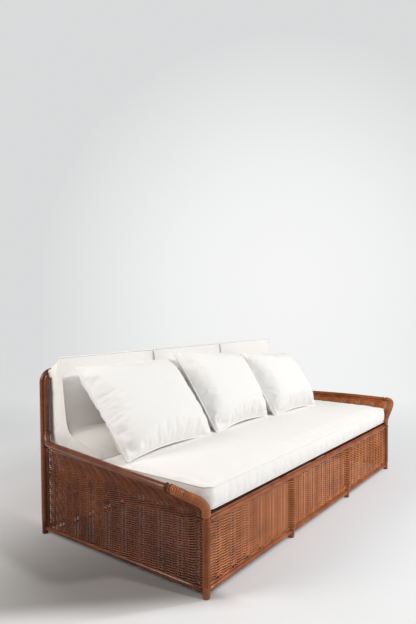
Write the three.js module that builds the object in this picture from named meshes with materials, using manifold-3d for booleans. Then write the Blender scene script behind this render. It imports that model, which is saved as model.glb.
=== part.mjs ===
// Three-seat rattan garden sofa with arms that flare outward, a woven shell and loose cushions.
// Millimetres, +Z up, +X along the length, +Y to the back. The origin is under the middle of the box.
import * as THREE from 'three';
import { mergeVertices } from 'three/addons/utils/BufferGeometryUtils.js';
import Module from 'manifold-3d';

const wasm = await Module();
wasm.setup();

// Driving sizes of the frame, between the centre lines of the poles
const bays = 3;
const bayWidth = 700;
const frameDepth = 1016;
const backTop = 827;
const backLean = 18;
const length = bays * bayWidth;

// Fits
const gap = 0.3;

// Poles, canes and panels
const cornerPostRadius = 16;
const midPostRadius = 16;
const backPostRadius = 15;
const railRadius = 11;
const stripRadius = 4;
const bearerRadius = 12;
const seatRailRadius = 10;
const rodRadius = 9;
const braceRadius = 7;
const panelHalf = 4;
const strandHalf = 1.7;
const baySpokes = 13;
const sideSpokes = 19;
const poleSides = 14;
const caneSides = 10;

// Heights of the base, and what stands on its top rail
const railClearance = 18;
const topRailHeight = 300;
const postRise = 12;
const seatRise = 2.7;
const footHeight = 30;

// Seat deck
const rods = 7;
const firstRodSetback = 30;
const lastRodInset = 50;

// Arms
const armRailRadius = 15;
const armBendRadius = 16;
const underRailRadius = 9;
const armFlare = 158.5;
const flareOverrun = 34;
const flarePower = 1.56;
const armRise = 163;
const armCrown = 10;
const armCrownRun = 490;
const armJointSetback = 54;
const armTurnRadius = 45;
const armTurnRise = 43;
const underRailInset = 76;
const flareKneeRise = 54;

// Cane windings on the two joints of each arm
const caneRadius = 2;
const canePitch = 4.8;
const armWindingTurns = 4;
const postWindingTurns = 2;
const windingClearance = 0.8;
const windingSteps = 24;
const windingSides = 6;

// Back frame
const backCornerRadius = 52;
const stileRadius = 13;
const stileTurnDegrees = 38;
const backTurnSteps = 7;

// Side braces, measured forward from the back posts
const braceRearInset = 106;
const braceFrontInset = 569;

// Seat cushion
const seatSideGap = 8;
const seatFrontProud = 5;
const seatCushionDepth = 642;
const seatCornerRadius = 45;
const seatBelly = 15.7;
const seatBoxing = 87;
const seatCrown = 20;
const seatDrawIn = 4;

// Back cushions
const backSideGap = 27;
const backCushionGap = 12;
const backCushionClear = 3;
const backCushionHeight = 563.7;
const backCrown = 40;
const backDrawIn = 8;

// Throw pillows, from left to right. Their corners lie at shares of the sofa's length, of its depth from
// the front posts, and of the back cushions' height over the seat cushion
const pillowCornerShares = [
  {
    lowLeft: [0.0143, 0.4577, 0.0325],
    lowRight: [0.319, 0.4577, 0.0325],
    highLeft: [0.0143, 0.8071, 0.896],
    highRight: [0.3348, 0.8071, 0.88],
  },
  {
    lowLeft: [0.3362, 0.4478, 0.0325],
    lowRight: [0.6071, 0.4675, 0.0456],
    highLeft: [0.3629, 0.8071, 0.9696],
    highRight: [0.611, 0.6939, 0.8742],
  },
  {
    lowLeft: [0.6152, 0.4183, 0.05],
    lowRight: [0.8714, 0.4035, 0.05],
    highLeft: [0.62, 0.6841, 0.8894],
    highRight: [0.86, 0.6398, 0.82],
  },
];
const pillowThickness = 195;
const pillowSeam = 5;
const pillowSettle = 20;
const pillowPinchShare = 0.02;
const pillowTuckShare = 0.1;

// Values that follow
const leftLine = -length / 2;
const bottomRailHeight = railClearance + railRadius;
const postTop = topRailHeight + postRise;
const stripOffset = railRadius + gap + stripRadius;
const rodTop = topRailHeight + stripOffset + stripRadius + seatRise;
const rodHeight = rodTop - rodRadius;
const bearerTop = rodTop - 2 * rodRadius - gap;
const bearerHeight = bearerTop - bearerRadius;
const seatRailHeight = bearerTop - seatRailRadius;
const backTurnStart = backTop - backPostRadius - backCornerRadius;
const backRailHeight = backTop - backPostRadius;
const flareRun = frameDepth + flareOverrun;
const armEndHeight = postTop + armRise;
const armTurnTop = armEndHeight + armTurnRise;
const flareKneeHeight = postTop + flareKneeRise - caneRadius;
const flareStartHeight = postTop - caneRadius;
const windingReach = cornerPostRadius + gap + 2 * caneRadius + gap;
const backSeatRailY = backLineY(bearerHeight) - backPostRadius - gap - railRadius;
const deckRear = backSeatRailY - railRadius - gap;
const cushionFloor = rodTop + gap;
const seatLowSeam = cushionFloor + seatBelly;
const seatHighSeam = seatLowSeam + seatBoxing;
const backSeamTop = cushionFloor + backCushionHeight;

const cane = { color: 0x8a4a26, roughness: 0.45, metalness: 0 };
const lightCane = { color: 0xb98a54, roughness: 0.5, metalness: 0 };
const weave = { color: 0x7c4020, roughness: 0.55, metalness: 0 };
const cloth = { color: 0xece6dc, roughness: 0.9, metalness: 0 };

const sofa = new THREE.Group();

// The centre line of the back posts leans away from the seat between the feet and the top corners
function backLineY(height) {
  const climb = THREE.MathUtils.clamp((height - footHeight) / (backTurnStart - footHeight), 0, 1);
  return frameDepth + backLean * climb;
}

// A path whose steps fall on its own points, with square ends
class PointPath extends THREE.Curve {
  constructor(points, startDirection, endDirection) {
    super();
    this.points = points;
    this.startDirection = startDirection;
    this.endDirection = endDirection;
  }

  getPoint(t, target = new THREE.Vector3()) {
    const last = this.points.length - 1;
    const index = Math.min(Math.floor(t * last + 1e-9), last - 1);
    return target.lerpVectors(this.points[index], this.points[index + 1], t * last - index);
  }

  getPointAt(u, target) {
    return this.getPoint(u, target);
  }

  getTangentAt(u, target = new THREE.Vector3()) {
    const last = this.points.length - 1;
    const index = Math.round(u * last);
    if (index === 0 && this.startDirection) return target.copy(this.startDirection);
    if (index === last && this.endDirection) return target.copy(this.endDirection);
    const before = this.points[Math.max(index - 1, 0)];
    const after = this.points[Math.min(index + 1, last)];
    return target.subVectors(after, before).normalize();
  }
}

// A round pole through points
function pole(points, radius, sides = poleSides, startDirection = null, endDirection = null) {
  const outline = [];
  for (let i = 0; i < sides; i += 1) {
    const angle = ((i + 0.5) / sides) * 2 * Math.PI;
    outline.push(new THREE.Vector2(radius * Math.cos(angle), radius * Math.sin(angle)));
  }
  return new THREE.ExtrudeGeometry(new THREE.Shape(outline), {
    steps: points.length - 1,
    bevelEnabled: false,
    extrudePath: new PointPath(points, startDirection, endDirection),
  });
}

function point(x, y, z) {
  return new THREE.Vector3(x, y, z);
}

// Places on a side: outward from the post line, rearward from the front posts, up from the floor
function sidePoint(side, outward, rearward, height) {
  return point(side * (length / 2 + outward), rearward, height);
}

// The skin of a lattice, bent by a function into a closed solid
function latticeSolid(xs, ys, zs, bend) {
  const positions = [];
  const indices = [];
  const seen = new Map();
  const corner = (i, j, k) => {
    const key = (i * ys.length + j) * zs.length + k;
    if (!seen.has(key)) {
      seen.set(key, positions.length / 3);
      const place = bend(xs[i], ys[j], zs[k]);
      positions.push(place.x, place.y, place.z);
    }
    return seen.get(key);
  };
  const quad = (a, b, c, d) => indices.push(a, b, c, a, c, d);
  const [nx, ny, nz] = [xs.length - 1, ys.length - 1, zs.length - 1];
  for (let i = 0; i < nx; i += 1) {
    for (let j = 0; j < ny; j += 1) {
      quad(corner(i, j, nz), corner(i + 1, j, nz), corner(i + 1, j + 1, nz), corner(i, j + 1, nz));
      quad(corner(i, j, 0), corner(i, j + 1, 0), corner(i + 1, j + 1, 0), corner(i + 1, j, 0));
    }
    for (let k = 0; k < nz; k += 1) {
      quad(corner(i, 0, k), corner(i + 1, 0, k), corner(i + 1, 0, k + 1), corner(i, 0, k + 1));
      quad(corner(i, ny, k), corner(i, ny, k + 1), corner(i + 1, ny, k + 1), corner(i + 1, ny, k));
    }
  }
  for (let j = 0; j < ny; j += 1) {
    for (let k = 0; k < nz; k += 1) {
      quad(corner(0, j, k), corner(0, j, k + 1), corner(0, j + 1, k + 1), corner(0, j + 1, k));
      quad(corner(nx, j, k), corner(nx, j + 1, k), corner(nx, j + 1, k + 1), corner(nx, j, k + 1));
    }
  }
  const geometry = new THREE.BufferGeometry();
  geometry.setAttribute('position', new THREE.Float32BufferAttribute(positions, 3));
  geometry.setIndex(signedVolume(positions, indices) < 0 ? indices.reverse() : indices);
  return geometry;
}

function signedVolume(positions, indices) {
  const [a, b, c] = [new THREE.Vector3(), new THREE.Vector3(), new THREE.Vector3()];
  let volume = 0;
  for (let i = 0; i < indices.length; i += 3) {
    a.fromArray(positions, 3 * indices[i]);
    b.fromArray(positions, 3 * indices[i + 1]);
    c.fromArray(positions, 3 * indices[i + 2]);
    volume += a.dot(b.cross(c)) / 6;
  }
  return volume;
}

function toManifold(geometry) {
  const bare = geometry.clone();
  bare.deleteAttribute('normal');
  bare.deleteAttribute('uv');
  const merged = mergeVertices(bare, 1e-3);
  return new wasm.Manifold(new wasm.Mesh({
    numProp: 3,
    vertProperties: new Float32Array(merged.attributes.position.array),
    triVerts: new Uint32Array(merged.index.array),
  }));
}

// A solid less its neighbours, of which only the largest body is kept
function cut(geometry, tools) {
  let solid = toManifold(geometry);
  for (const tool of tools) solid = solid.subtract(toManifold(tool));
  const bodies = solid.decompose().sort((a, b) => b.volume() - a.volume());
  const mesh = bodies[0].getMesh();
  const result = new THREE.BufferGeometry();
  result.setAttribute('position', new THREE.Float32BufferAttribute(mesh.vertProperties, 3));
  result.setIndex(Array.from(mesh.triVerts));
  return result;
}

function add(name, geometry, finish) {
  const mesh = new THREE.Mesh(geometry, new THREE.MeshStandardMaterial(finish));
  mesh.name = name;
  sofa.add(mesh);
  return mesh;
}

function spread(from, to, steps) {
  return Array.from({ length: steps + 1 }, (unused, i) => from + ((to - from) * i) / steps);
}

// Half the thickness of a woven panel at a place counted in spokes: full where strands pass over a spoke
function wovenHalf(spokesAlong) {
  const overSpoke = 1 - Math.abs(2 * (spokesAlong - Math.floor(spokesAlong)) - 1);
  return strandHalf + (panelHalf - strandHalf) * overSpoke;
}

// The places of the spokes and of the middles between them, from one end of a panel to the other
function spokeLines(start, pitch, spokes, from, to) {
  const margin = pitch / 10;
  const inner = spread(0, spokes, 2 * spokes)
    .map((spokesAlong) => start + spokesAlong * pitch)
    .filter((place) => place > from + margin && place < to - margin);
  return [from, ...inner, to];
}

// Front posts and the poles bent over from them
function frontPost(side, extra = 0) {
  const foot = sidePoint(side, 0, 0, 0);
  const top = sidePoint(side, 0, 0, postTop);
  return pole([foot, top], cornerPostRadius + extra);
}

// The pole's bend: outward, rearward and up, as shares of the way from the post's top to the arm's joint
const armBendShares = [
  [0, 0, 0], [0.02, 0, 0.25], [0.11, -0.04, 0.38], [0.25, -0.06, 0.5], [0.42, -0.06, 0.615],
  [0.61, -0.02, 0.725], [0.81, 0.06, 0.84], [0.925, 0.2, 0.925], [0.985, 0.46, 0.98], [1, 0.72, 1],
  [1, 0.86, 1], [1, 1, 1],
];
const armBendSteps = 24;

function armBend(side, extra = 0) {
  const start = postTop + gap;
  const joint = armLine(armJointSetback);
  const stops = armBendShares.map(([out, back, up]) => sidePoint(
    side,
    out * joint.outward,
    back * (armJointSetback - gap),
    start + up * (joint.height - start),
  ));
  const points = new THREE.CatmullRomCurve3(stops, false, 'centripetal').getSpacedPoints(armBendSteps);
  return pole(points, armBendRadius + extra, poleSides, point(0, 0, 1), point(0, 1, 0));
}

// The arm's rail: how far out it lies and how high its centre is at a setback from the front
function armLine(setback) {
  const outward = armFlare * (1 - (setback / flareRun) ** flarePower);
  const bow = 1 - ((setback - armCrownRun) / armCrownRun) ** 2;
  return { outward, height: armEndHeight - armRailRadius + armCrown * bow };
}

const armRearY = backLineY(armTurnTop) - backPostRadius - gap - armRailRadius;
const armRailSteps = 10;
const armTurnSteps = 7;

function armRail(side, extra = 0) {
  const turnStart = armRearY - armTurnRadius;
  const points = spread(armJointSetback, turnStart, armRailSteps).map((setback) => {
    const at = armLine(setback);
    return sidePoint(side, at.outward, setback, at.height);
  });
  const low = armLine(turnStart);
  for (let i = 1; i <= armTurnSteps; i += 1) {
    const share = i / armTurnSteps;
    const angle = (share * Math.PI) / 2;
    points.push(sidePoint(
      side,
      low.outward * (1 - share),
      turnStart + armTurnRadius * Math.sin(angle),
      low.height + armTurnRadius * (1 - Math.cos(angle)),
    ));
  }
  points.push(sidePoint(side, 0, armRearY, armTurnTop));
  return pole(points, armRailRadius + extra, poleSides, point(0, 1, 0), point(0, 0, 1));
}

// The side panel's cross-section: upright from the base, then bending outward up to the arm's rail
function sideSurface(setback, share) {
  const arm = armLine(setback);
  const turn = 1 - share;
  return {
    outward: share * share * arm.outward,
    height: turn * turn * flareStartHeight + 2 * turn * share * flareKneeHeight + share * share * arm.height,
  };
}

// The second band, under the arm's rail and in line with the panel
const underRailOffset = armRailRadius + 2 * gap + underRailRadius;
const underRailFront = armJointSetback + windingLength(armWindingTurns) / 2 + caneRadius + windingClearance;
const underRailSteps = 12;

function underShare(setback) {
  const arm = armLine(setback);
  return 1 - underRailOffset / (2 * Math.hypot(arm.outward, arm.height - flareKneeHeight));
}

function underRail(side, extra = 0) {
  const rear = armRearY - underRailInset;
  const points = spread(underRailFront - extra, rear + extra, underRailSteps).map((setback) => {
    const arm = armLine(setback);
    const at = sideSurface(setback, underShare(setback));
    const stretch = underRailOffset / Math.hypot(arm.outward - at.outward, arm.height - at.height);
    const outward = arm.outward + stretch * (at.outward - arm.outward);
    return sidePoint(side, outward, setback, arm.height + stretch * (at.height - arm.height));
  });
  return pole(points, underRailRadius + extra, caneSides);
}

// Cane windings: one unbroken helix round an axis
function windingLength(turns) {
  return turns * canePitch;
}

function winding(centre, along, across, radius, turns) {
  const upward = new THREE.Vector3().crossVectors(along, across);
  const steps = turns * windingSteps;
  const points = [];
  for (let i = 0; i <= steps; i += 1) {
    const angle = (i / windingSteps) * 2 * Math.PI;
    const travel = (i / windingSteps - turns / 2) * canePitch;
    points.push(centre.clone()
      .addScaledVector(along, travel)
      .addScaledVector(across, radius * Math.cos(angle))
      .addScaledVector(upward, radius * Math.sin(angle)));
  }
  return { points, geometry: pole(points, caneRadius, windingSides) };
}

// The least distance between the surfaces of neighbouring turns
function leastGap(points) {
  let least = Infinity;
  for (let i = 0; i < points.length; i += 1) {
    for (let j = i + windingSteps / 2; j < points.length; j += 1) {
      least = Math.min(least, points[i].distanceTo(points[j]) - 2 * caneRadius);
    }
  }
  return least;
}

// The room round a winding, whose flat sides stay clear of it
function windingRoom(start, end, radius) {
  return pole([start, end], (radius + caneRadius + gap) / Math.cos(Math.PI / poleSides));
}

// Back posts with their top corners, and the stiles in front of them
function backTurn(side, y, degrees, steps) {
  const points = [];
  for (let i = 1; i <= steps; i += 1) {
    const angle = THREE.MathUtils.degToRad((degrees * i) / steps);
    const inward = backCornerRadius * (1 - Math.cos(angle));
    points.push(sidePoint(side, -inward, y, backTurnStart + backCornerRadius * Math.sin(angle)));
  }
  return points;
}

function backLine(side, heights, inFront = 0) {
  return heights.map((height) => sidePoint(side, 0, backLineY(height) - inFront, height));
}

function backPost(side, extra = 0) {
  const y = frameDepth + backLean;
  const points = [
    ...backLine(side, [0, footHeight, backTurnStart]),
    ...backTurn(side, y, 90, backTurnSteps),
  ];
  return pole(points, backPostRadius + extra, poleSides, point(0, 0, 1), point(-side, 0, 0));
}

function backStile(side) {
  const inFront = backPostRadius + gap + stileRadius;
  const points = [
    ...backLine(side, [armTurnTop + gap, backTurnStart], inFront),
    ...backTurn(side, frameDepth + backLean - inFront, stileTurnDegrees, 3),
  ];
  return pole(points, stileRadius, poleSides, point(0, 0, 1));
}

// Rails of the base
function frontRail(height, radius, endReach, extra = 0) {
  const from = point(leftLine + endReach - extra, 0, height);
  const to = point(-leftLine - endReach + extra, 0, height);
  return pole([from, to], radius + extra, caneSides);
}

function backBottomRail(extra = 0) {
  const reach = backPostRadius + gap;
  const from = point(leftLine + reach, frameDepth, bottomRailHeight);
  const to = point(-leftLine - reach, frameDepth, bottomRailHeight);
  return pole([from, to], railRadius + extra, caneSides);
}

function sideBottomRail(side, extra = 0) {
  const front = sidePoint(side, 0, cornerPostRadius + gap - extra, bottomRailHeight);
  const rear = sidePoint(side, 0, frameDepth - backPostRadius - gap + extra, bottomRailHeight);
  return pole([front, rear], railRadius + extra, caneSides);
}

for (const [name, side] of [['left', -1], ['right', 1]]) {
  add(`${name}_front_post`, frontPost(side), cane);
  add(`${name}_arm_bend`, armBend(side), cane);
  add(`${name}_arm_rail`, armRail(side), cane);
  add(`${name}_arm_underrail`, underRail(side), cane);
  add(`${name}_back_post`, backPost(side), cane);
  add(`${name}_back_stile`, backStile(side), cane);
  add(`${name}_bottom_rail`, sideBottomRail(side), cane);

  const seatRailIn = -(panelHalf + gap + seatRailRadius);
  const seatRailFrom = sidePoint(side, seatRailIn, windingReach, seatRailHeight);
  const seatRailTo = sidePoint(side, seatRailIn, deckRear, seatRailHeight);
  add(`${name}_seat_rail`, pole([seatRailFrom, seatRailTo], seatRailRadius, caneSides), cane);

  // The brace stands on the bottom rail and stops under the seat rail
  const braceIn = -(panelHalf + gap + braceRadius);
  const braceLow = bottomRailHeight + railRadius + braceRadius;
  const braceHigh = seatRailHeight - seatRailRadius - braceRadius;
  const braceFrom = sidePoint(side, braceIn, frameDepth - braceRearInset, braceLow);
  const braceTo = sidePoint(side, braceIn, frameDepth - braceFrontInset, braceHigh);
  add(`${name}_side_brace`, pole([braceFrom, braceTo], braceRadius, caneSides), cane);

  const joint = armLine(armJointSetback);
  const armCentre = sidePoint(side, joint.outward, armJointSetback, joint.height);
  const armWindingRadius = armBendRadius + windingClearance + caneRadius;
  const armTurns = winding(armCentre, point(0, 1, 0), point(1, 0, 0), armWindingRadius, armWindingTurns);
  add(`${name}_arm_binding`, armTurns.geometry, lightCane);

  const postCentre = sidePoint(side, 0, 0, topRailHeight + caneRadius);
  const postWindingRadius = cornerPostRadius + gap + caneRadius;
  const postTurns = winding(postCentre, point(0, 0, 1), point(1, 0, 0), postWindingRadius, postWindingTurns);
  add(`${name}_post_binding`, postTurns.geometry, cane);
  console.log(`${name} windings, least gap between turns:`,
    leastGap(armTurns.points).toFixed(2), leastGap(postTurns.points).toFixed(2));

  add(`${name}_side_panel`, sidePanel(side, armCentre, armWindingRadius, postWindingRadius), weave);
}

// The woven side, fitted inside its poles
function sidePanel(side, armCentre, armWindingRadius, postWindingRadius) {
  const topFront = underRailFront - caneRadius;
  const pitch = frameDepth / sideSpokes;
  const setbacks = [
    ...spokeLines(0, pitch, sideSpokes, 0, topFront),
    ...spokeLines(0, pitch, sideSpokes, underRailFront - gap, backLineY(armEndHeight)),
  ];
  const uprightSteps = 2;
  const bentSteps = 7;
  const bent = (setback, step) => {
    const top = setback > topFront ? underShare(setback) : 1;
    return sideSurface(setback, (top * step) / bentSteps);
  };
  const levels = spread(0, uprightSteps + bentSteps, uprightSteps + bentSteps);
  const bend = (setback, level, face) => {
    const depth = face * wovenHalf(setback / pitch);
    const rise = flareStartHeight - bottomRailHeight;
    if (level <= uprightSteps) {
      return sidePoint(side, depth, setback, bottomRailHeight + (rise * level) / uprightSteps);
    }
    const at = bent(setback, level - uprightSteps);
    const near = bent(setback, level - uprightSteps - 0.5);
    const slope = Math.hypot(at.outward - near.outward, at.height - near.height);
    const outward = at.outward + (depth * (at.height - near.height)) / slope;
    const height = at.height - (depth * (at.outward - near.outward)) / slope;
    return sidePoint(side, outward, setback, height);
  };
  const skin = latticeSolid(setbacks, levels, [-1, 1], bend);
  const armHalf = windingLength(armWindingTurns) / 2 + caneRadius + windingClearance;
  const armReach = point(0, armHalf, 0);
  const postHalf = windingLength(postWindingTurns) / 2 + caneRadius + windingClearance;
  const postCentre = sidePoint(side, 0, 0, topRailHeight + caneRadius);
  const postReach = point(0, 0, postHalf);
  return cut(skin, [
    frontPost(side, gap),
    armBend(side, gap),
    armRail(side, gap),
    underRail(side, gap),
    sideBottomRail(side, gap),
    backPost(side, gap),
    windingRoom(armCentre.clone().sub(armReach), armCentre.clone().add(armReach), armWindingRadius),
    windingRoom(postCentre.clone().sub(postReach), postCentre.clone().add(postReach), postWindingRadius),
  ]);
}

// Front of the base
const bottomReach = cornerPostRadius + gap;
add('front_top_rail', frontRail(topRailHeight, railRadius, windingReach), cane);
add('front_top_strip', frontRail(topRailHeight + stripOffset, stripRadius, bottomReach), cane);
add('front_bottom_rail', frontRail(bottomRailHeight, railRadius, bottomReach), cane);
add('front_bottom_strip', frontRail(bottomRailHeight + stripOffset, stripRadius, bottomReach), cane);

// Back of the base and of the seat
add('back_bottom_rail', backBottomRail(), cane);
const backRailY = frameDepth + backLean;
const backRailReach = backCornerRadius + gap;
const backRailFrom = point(leftLine + backRailReach, backRailY, backRailHeight);
const backRailTo = point(-leftLine - backRailReach, backRailY, backRailHeight);
add('back_top_rail', pole([backRailFrom, backRailTo], backPostRadius), cane);
const backSeatReach = panelHalf + gap;
const backSeatFrom = point(leftLine + backSeatReach, backSeatRailY, bearerHeight);
const backSeatTo = point(-leftLine - backSeatReach, backSeatRailY, bearerHeight);
add('back_seat_rail', pole([backSeatFrom, backSeatTo], railRadius, caneSides), cane);

// Posts between the bays, drilled for the rails that run through them
const backPanelTop = backRailHeight - backPostRadius - gap;
for (let bay = 1; bay < bays; bay += 1) {
  const x = leftLine + bay * bayWidth;
  const postFoot = point(x, 0, 0);
  const postHead = point(x, 0, topRailHeight - railRadius - gap);
  add(`front_mid_post_${bay}`, cut(pole([postFoot, postHead], midPostRadius), [
    frontRail(bottomRailHeight, railRadius, bottomReach, gap),
    frontRail(bottomRailHeight + stripOffset, stripRadius, bottomReach, gap),
  ]), cane);
  const stops = [0, footHeight, backTurnStart, backPanelTop];
  const backPoints = stops.map((height) => point(x, backLineY(height), height));
  const backPole = pole(backPoints, backPostRadius, poleSides, point(0, 0, 1), point(0, 0, 1));
  add(`back_mid_post_${bay}`, cut(backPole, [backBottomRail(gap)]), cane);
}

// Bearers from front to back: behind the posts between the bays, and one in the middle
const bearerPlaces = [
  { x: leftLine + bayWidth, front: midPostRadius + gap },
  { x: leftLine + length / 2, front: railRadius + gap },
  { x: leftLine + (bays - 1) * bayWidth, front: midPostRadius + gap },
];
bearerPlaces.forEach(({ x, front }, i) => {
  const from = point(x, front, bearerHeight);
  const to = point(x, deckRear, bearerHeight);
  add(`seat_bearer_${i + 1}`, pole([from, to], bearerRadius, caneSides), cane);
});

// Natural cane rods along the seat
spread(firstRodSetback, deckRear - lastRodInset, rods - 1).forEach((y, i) => {
  const reach = panelHalf + gap;
  const from = point(leftLine + reach, y, rodHeight);
  const to = point(-leftLine - reach, y, rodHeight);
  add(`seat_rod_${i + 1}`, pole([from, to], rodRadius, caneSides), lightCane);
});

// Woven panels of the front and the back, one for each bay
const frontPanelLow = bottomRailHeight + stripOffset + stripRadius + gap;
const frontPanelHigh = topRailHeight - railRadius - gap;
const backPanelLow = bottomRailHeight + railRadius + gap;
const bayPitch = bayWidth / baySpokes;

// A bay's panel between its posts, behind a line that may lean
function bayPanel(left, leftPost, rightPost, heights, lineY) {
  const from = left + leftPost + gap;
  const to = left + bayWidth - rightPost - gap;
  const xs = spokeLines(left, bayPitch, baySpokes, from, to);
  return latticeSolid(xs, heights, [-1, 1], (x, height, face) => {
    const depth = face * wovenHalf((x - left) / bayPitch);
    return point(x, lineY(height) + depth, height);
  });
}

for (let bay = 0; bay < bays; bay += 1) {
  const left = leftLine + bay * bayWidth;
  const leftPost = bay === 0 ? cornerPostRadius : midPostRadius;
  const rightPost = bay === bays - 1 ? cornerPostRadius : midPostRadius;
  const front = bayPanel(left, leftPost, rightPost, [frontPanelLow, frontPanelHigh], () => 0);
  add(`front_panel_${bay + 1}`, front, weave);

  const heights = [backPanelLow, backTurnStart, backPanelTop];
  const back = bayPanel(left, backPostRadius, backPostRadius, heights, backLineY);
  const corners = [];
  if (bay === 0) corners.push(backPost(-1, gap));
  if (bay === bays - 1) corners.push(backPost(1, gap));
  add(`back_panel_${bay + 1}`, corners.length ? cut(back, corners) : back, weave);
}

// Grid lines across a cushion, closer in its rounded corners
function cushionLines(half, corner, inner) {
  return [-half, corner / 2 - half, ...spread(corner - half, half - corner, inner), half - corner / 2, half];
}

// A rectangle's point, moved so that the corners of the rectangle become arcs
function roundCorner(x, y, halfWidth, halfDepth, corner) {
  const inX = Math.sign(x) * Math.max(Math.abs(x) - halfWidth + corner, 0);
  const inY = Math.sign(y) * Math.max(Math.abs(y) - halfDepth + corner, 0);
  const reach = Math.hypot(inX, inY);
  const shrink = reach > 0 ? Math.max(Math.abs(inX), Math.abs(inY)) / reach : 1;
  return { x: x - inX * (1 - shrink), y: y - inY * (1 - shrink) };
}

// How far a soft face stands out at a place, from 0 at its seams to 1 in the middle
function crownShare(acrossShare, alongShare) {
  return (1 - acrossShare ** 4) * (1 - alongShare ** 4);
}

// The long seat cushion
const seatHalfWidth = length / 2 - seatSideGap;
const seatHalfDepth = seatCushionDepth / 2;
const seatCentreY = seatHalfDepth - seatFrontProud;

function seatCushion() {
  const lowCrown = seatLowSeam - cushionFloor;
  const middle = (seatLowSeam + seatHighSeam) / 2;
  const xs = cushionLines(seatHalfWidth, seatCornerRadius, 9);
  const ys = cushionLines(seatHalfDepth, seatCornerRadius, 4);
  return latticeSolid(xs, ys, [seatLowSeam, middle, seatHighSeam], (x, y, z) => {
    const crown = crownShare(x / seatHalfWidth, y / seatHalfDepth);
    const flat = roundCorner(x, y, seatHalfWidth, seatHalfDepth, seatCornerRadius);
    const pull = z === middle ? 0 : seatDrawIn;
    const sideX = flat.x * (1 - pull / seatHalfWidth);
    const sideY = seatCentreY + flat.y * (1 - pull / seatHalfDepth);
    if (z === seatLowSeam) return point(sideX, sideY, z - lowCrown * Math.min(1, 2 * crown));
    if (z === seatHighSeam) return point(sideX, sideY, z + seatCrown * crown);
    return point(sideX, sideY, z);
  });
}
const seat = add('seat_cushion', seatCushion(), cloth);

// Back cushions: upright against the back, then bent forward along the deck behind the seat cushion
const toeFront = seatHalfDepth + seatCentreY + backCushionClear;
const backRest = frameDepth + backLean - backPostRadius - gap;
// Points of the front and rear seams, as shares of the depth behind the toe and of the height over the deck
const backFrontShares = [[0.77, 1], [0.735, 0.8], [0.69, 0.55], [0.66, 0.42], [0.585, 0.335],
  [0.46, 0.302], [0.22, 0.258], [0, 0.19]];
const backRearShares = [[1, 0.88], [1, 0.68], [0.99, 0.42], [0.97, 0.24], [0.9, 0.09],
  [0.78, 0.01], [0.4, 0], [0, 0]];
const backStations = 11;

function backCushion(left, width) {
  const depth = backRest - toeFront;
  const rise = backSeamTop - cushionFloor;
  const seam = (shares) => new THREE.SplineCurve(shares.map(([back, up]) => new THREE.Vector2(
    toeFront + back * depth,
    cushionFloor + up * rise,
  )));
  const front = seam(backFrontShares).getPoints(backStations);
  const rear = seam(backRearShares).getPoints(backStations);
  rear.forEach((place) => {
    place.y = Math.max(place.y, cushionFloor);
    place.x = Math.min(place.x, backLineY(place.y) - backPostRadius - gap);
  });
  const half = width / 2;
  const xs = spread(-half, half, 8);
  const stations = spread(0, backStations, backStations);
  return latticeSolid(xs, stations, [0, 0.5, 1], (x, station, w) => {
    const across = x / half;
    const along = (2 * station) / backStations - 1;
    const [a, b] = [rear[station], front[station]];
    const out = new THREE.Vector2().subVectors(b, a).normalize();
    const crown = w === 1 ? backCrown * crownShare(across, along) : 0;
    const pull = w === 0.5 ? 0 : backDrawIn * (1 - along ** 2);
    const y = a.x + w * (b.x - a.x) + crown * out.x;
    const z = a.y + w * (b.y - a.y) + crown * out.y;
    return point(left + half + x - pull * across, y, z);
  });
}

const cushionsAcross = 3;
const cushionRow = length - 2 * backSideGap - (cushionsAcross - 1) * backCushionGap;
const backCushionWidth = cushionRow / cushionsAcross;
for (let i = 0; i < cushionsAcross; i += 1) {
  const left = leftLine + backSideGap + i * (backCushionWidth + backCushionGap);
  add(`back_cushion_${i + 1}`, backCushion(left, backCushionWidth), cloth);
}

// Throw pillows with knife edges, resting on the corners of their lower edge, which tucks up between them
function throwPillow({ lowLeft, lowRight, highLeft, highRight }) {
  const rise = backSeamTop - seatHighSeam;
  const corners = [lowLeft, lowRight, highLeft, highRight].map(([along, back, up]) => point(
    leftLine + along * length,
    back * frameDepth,
    seatHighSeam + up * rise,
  ));
  const steps = 11;
  const patch = (u, v) => {
    const low = corners[0].clone().lerp(corners[1], (1 + u) / 2);
    const high = corners[2].clone().lerp(corners[3], (1 + u) / 2);
    return { low, high, place: low.clone().lerp(high, (1 + v) / 2) };
  };
  const geometry = latticeSolid(spread(-1, 1, steps), [-1, 1], spread(-1, 1, steps), (u, w, v) => {
    const inU = u * (1 - pillowPinchShare * (1 - v * v));
    const pinch = v < 0 ? pillowTuckShare : pillowPinchShare;
    const inV = v * (1 - pinch * (1 - u * u));
    const { low, high, place } = patch(inU, inV);
    const across = patch(1, inV).place.sub(patch(-1, inV).place);
    const rearward = across.cross(high.sub(low)).normalize();
    const swell = Math.sqrt(Math.max((1 - u * u) * (1 - v * v), 0));
    const half = (pillowSeam + (pillowThickness - pillowSeam) * swell) / 2;
    return place.addScaledVector(rearward, -w * half);
  });
  settle(geometry, seat.geometry, pillowSettle);
  return geometry;
}

// Lowers a solid from above its support until it rests there, one fit clear
function settle(geometry, support, reach) {
  const carrier = toManifold(support);
  const falling = toManifold(geometry);
  const touches = (height) => falling.translate([0, 0, height]).intersect(carrier).volume() > 0;
  let [low, high] = [-reach, reach];
  while (high - low > gap / 10) {
    const middle = (low + high) / 2;
    if (touches(middle)) low = middle;
    else high = middle;
  }
  geometry.translate(0, 0, high + gap);
}
pillowCornerShares.forEach((corners, i) => add(`throw_pillow_${i + 1}`, throwPillow(corners), cloth));

// The origin goes under the middle of the whole
const box = new THREE.Box3().setFromObject(sofa);
sofa.position.set(-(box.min.x + box.max.x) / 2, -(box.min.y + box.max.y) / 2, -box.min.z);

export default sofa;
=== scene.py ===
"""Looks of a long rattan garden sofa: wound poles, woven cane, cushions and throw pillows"""

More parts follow.
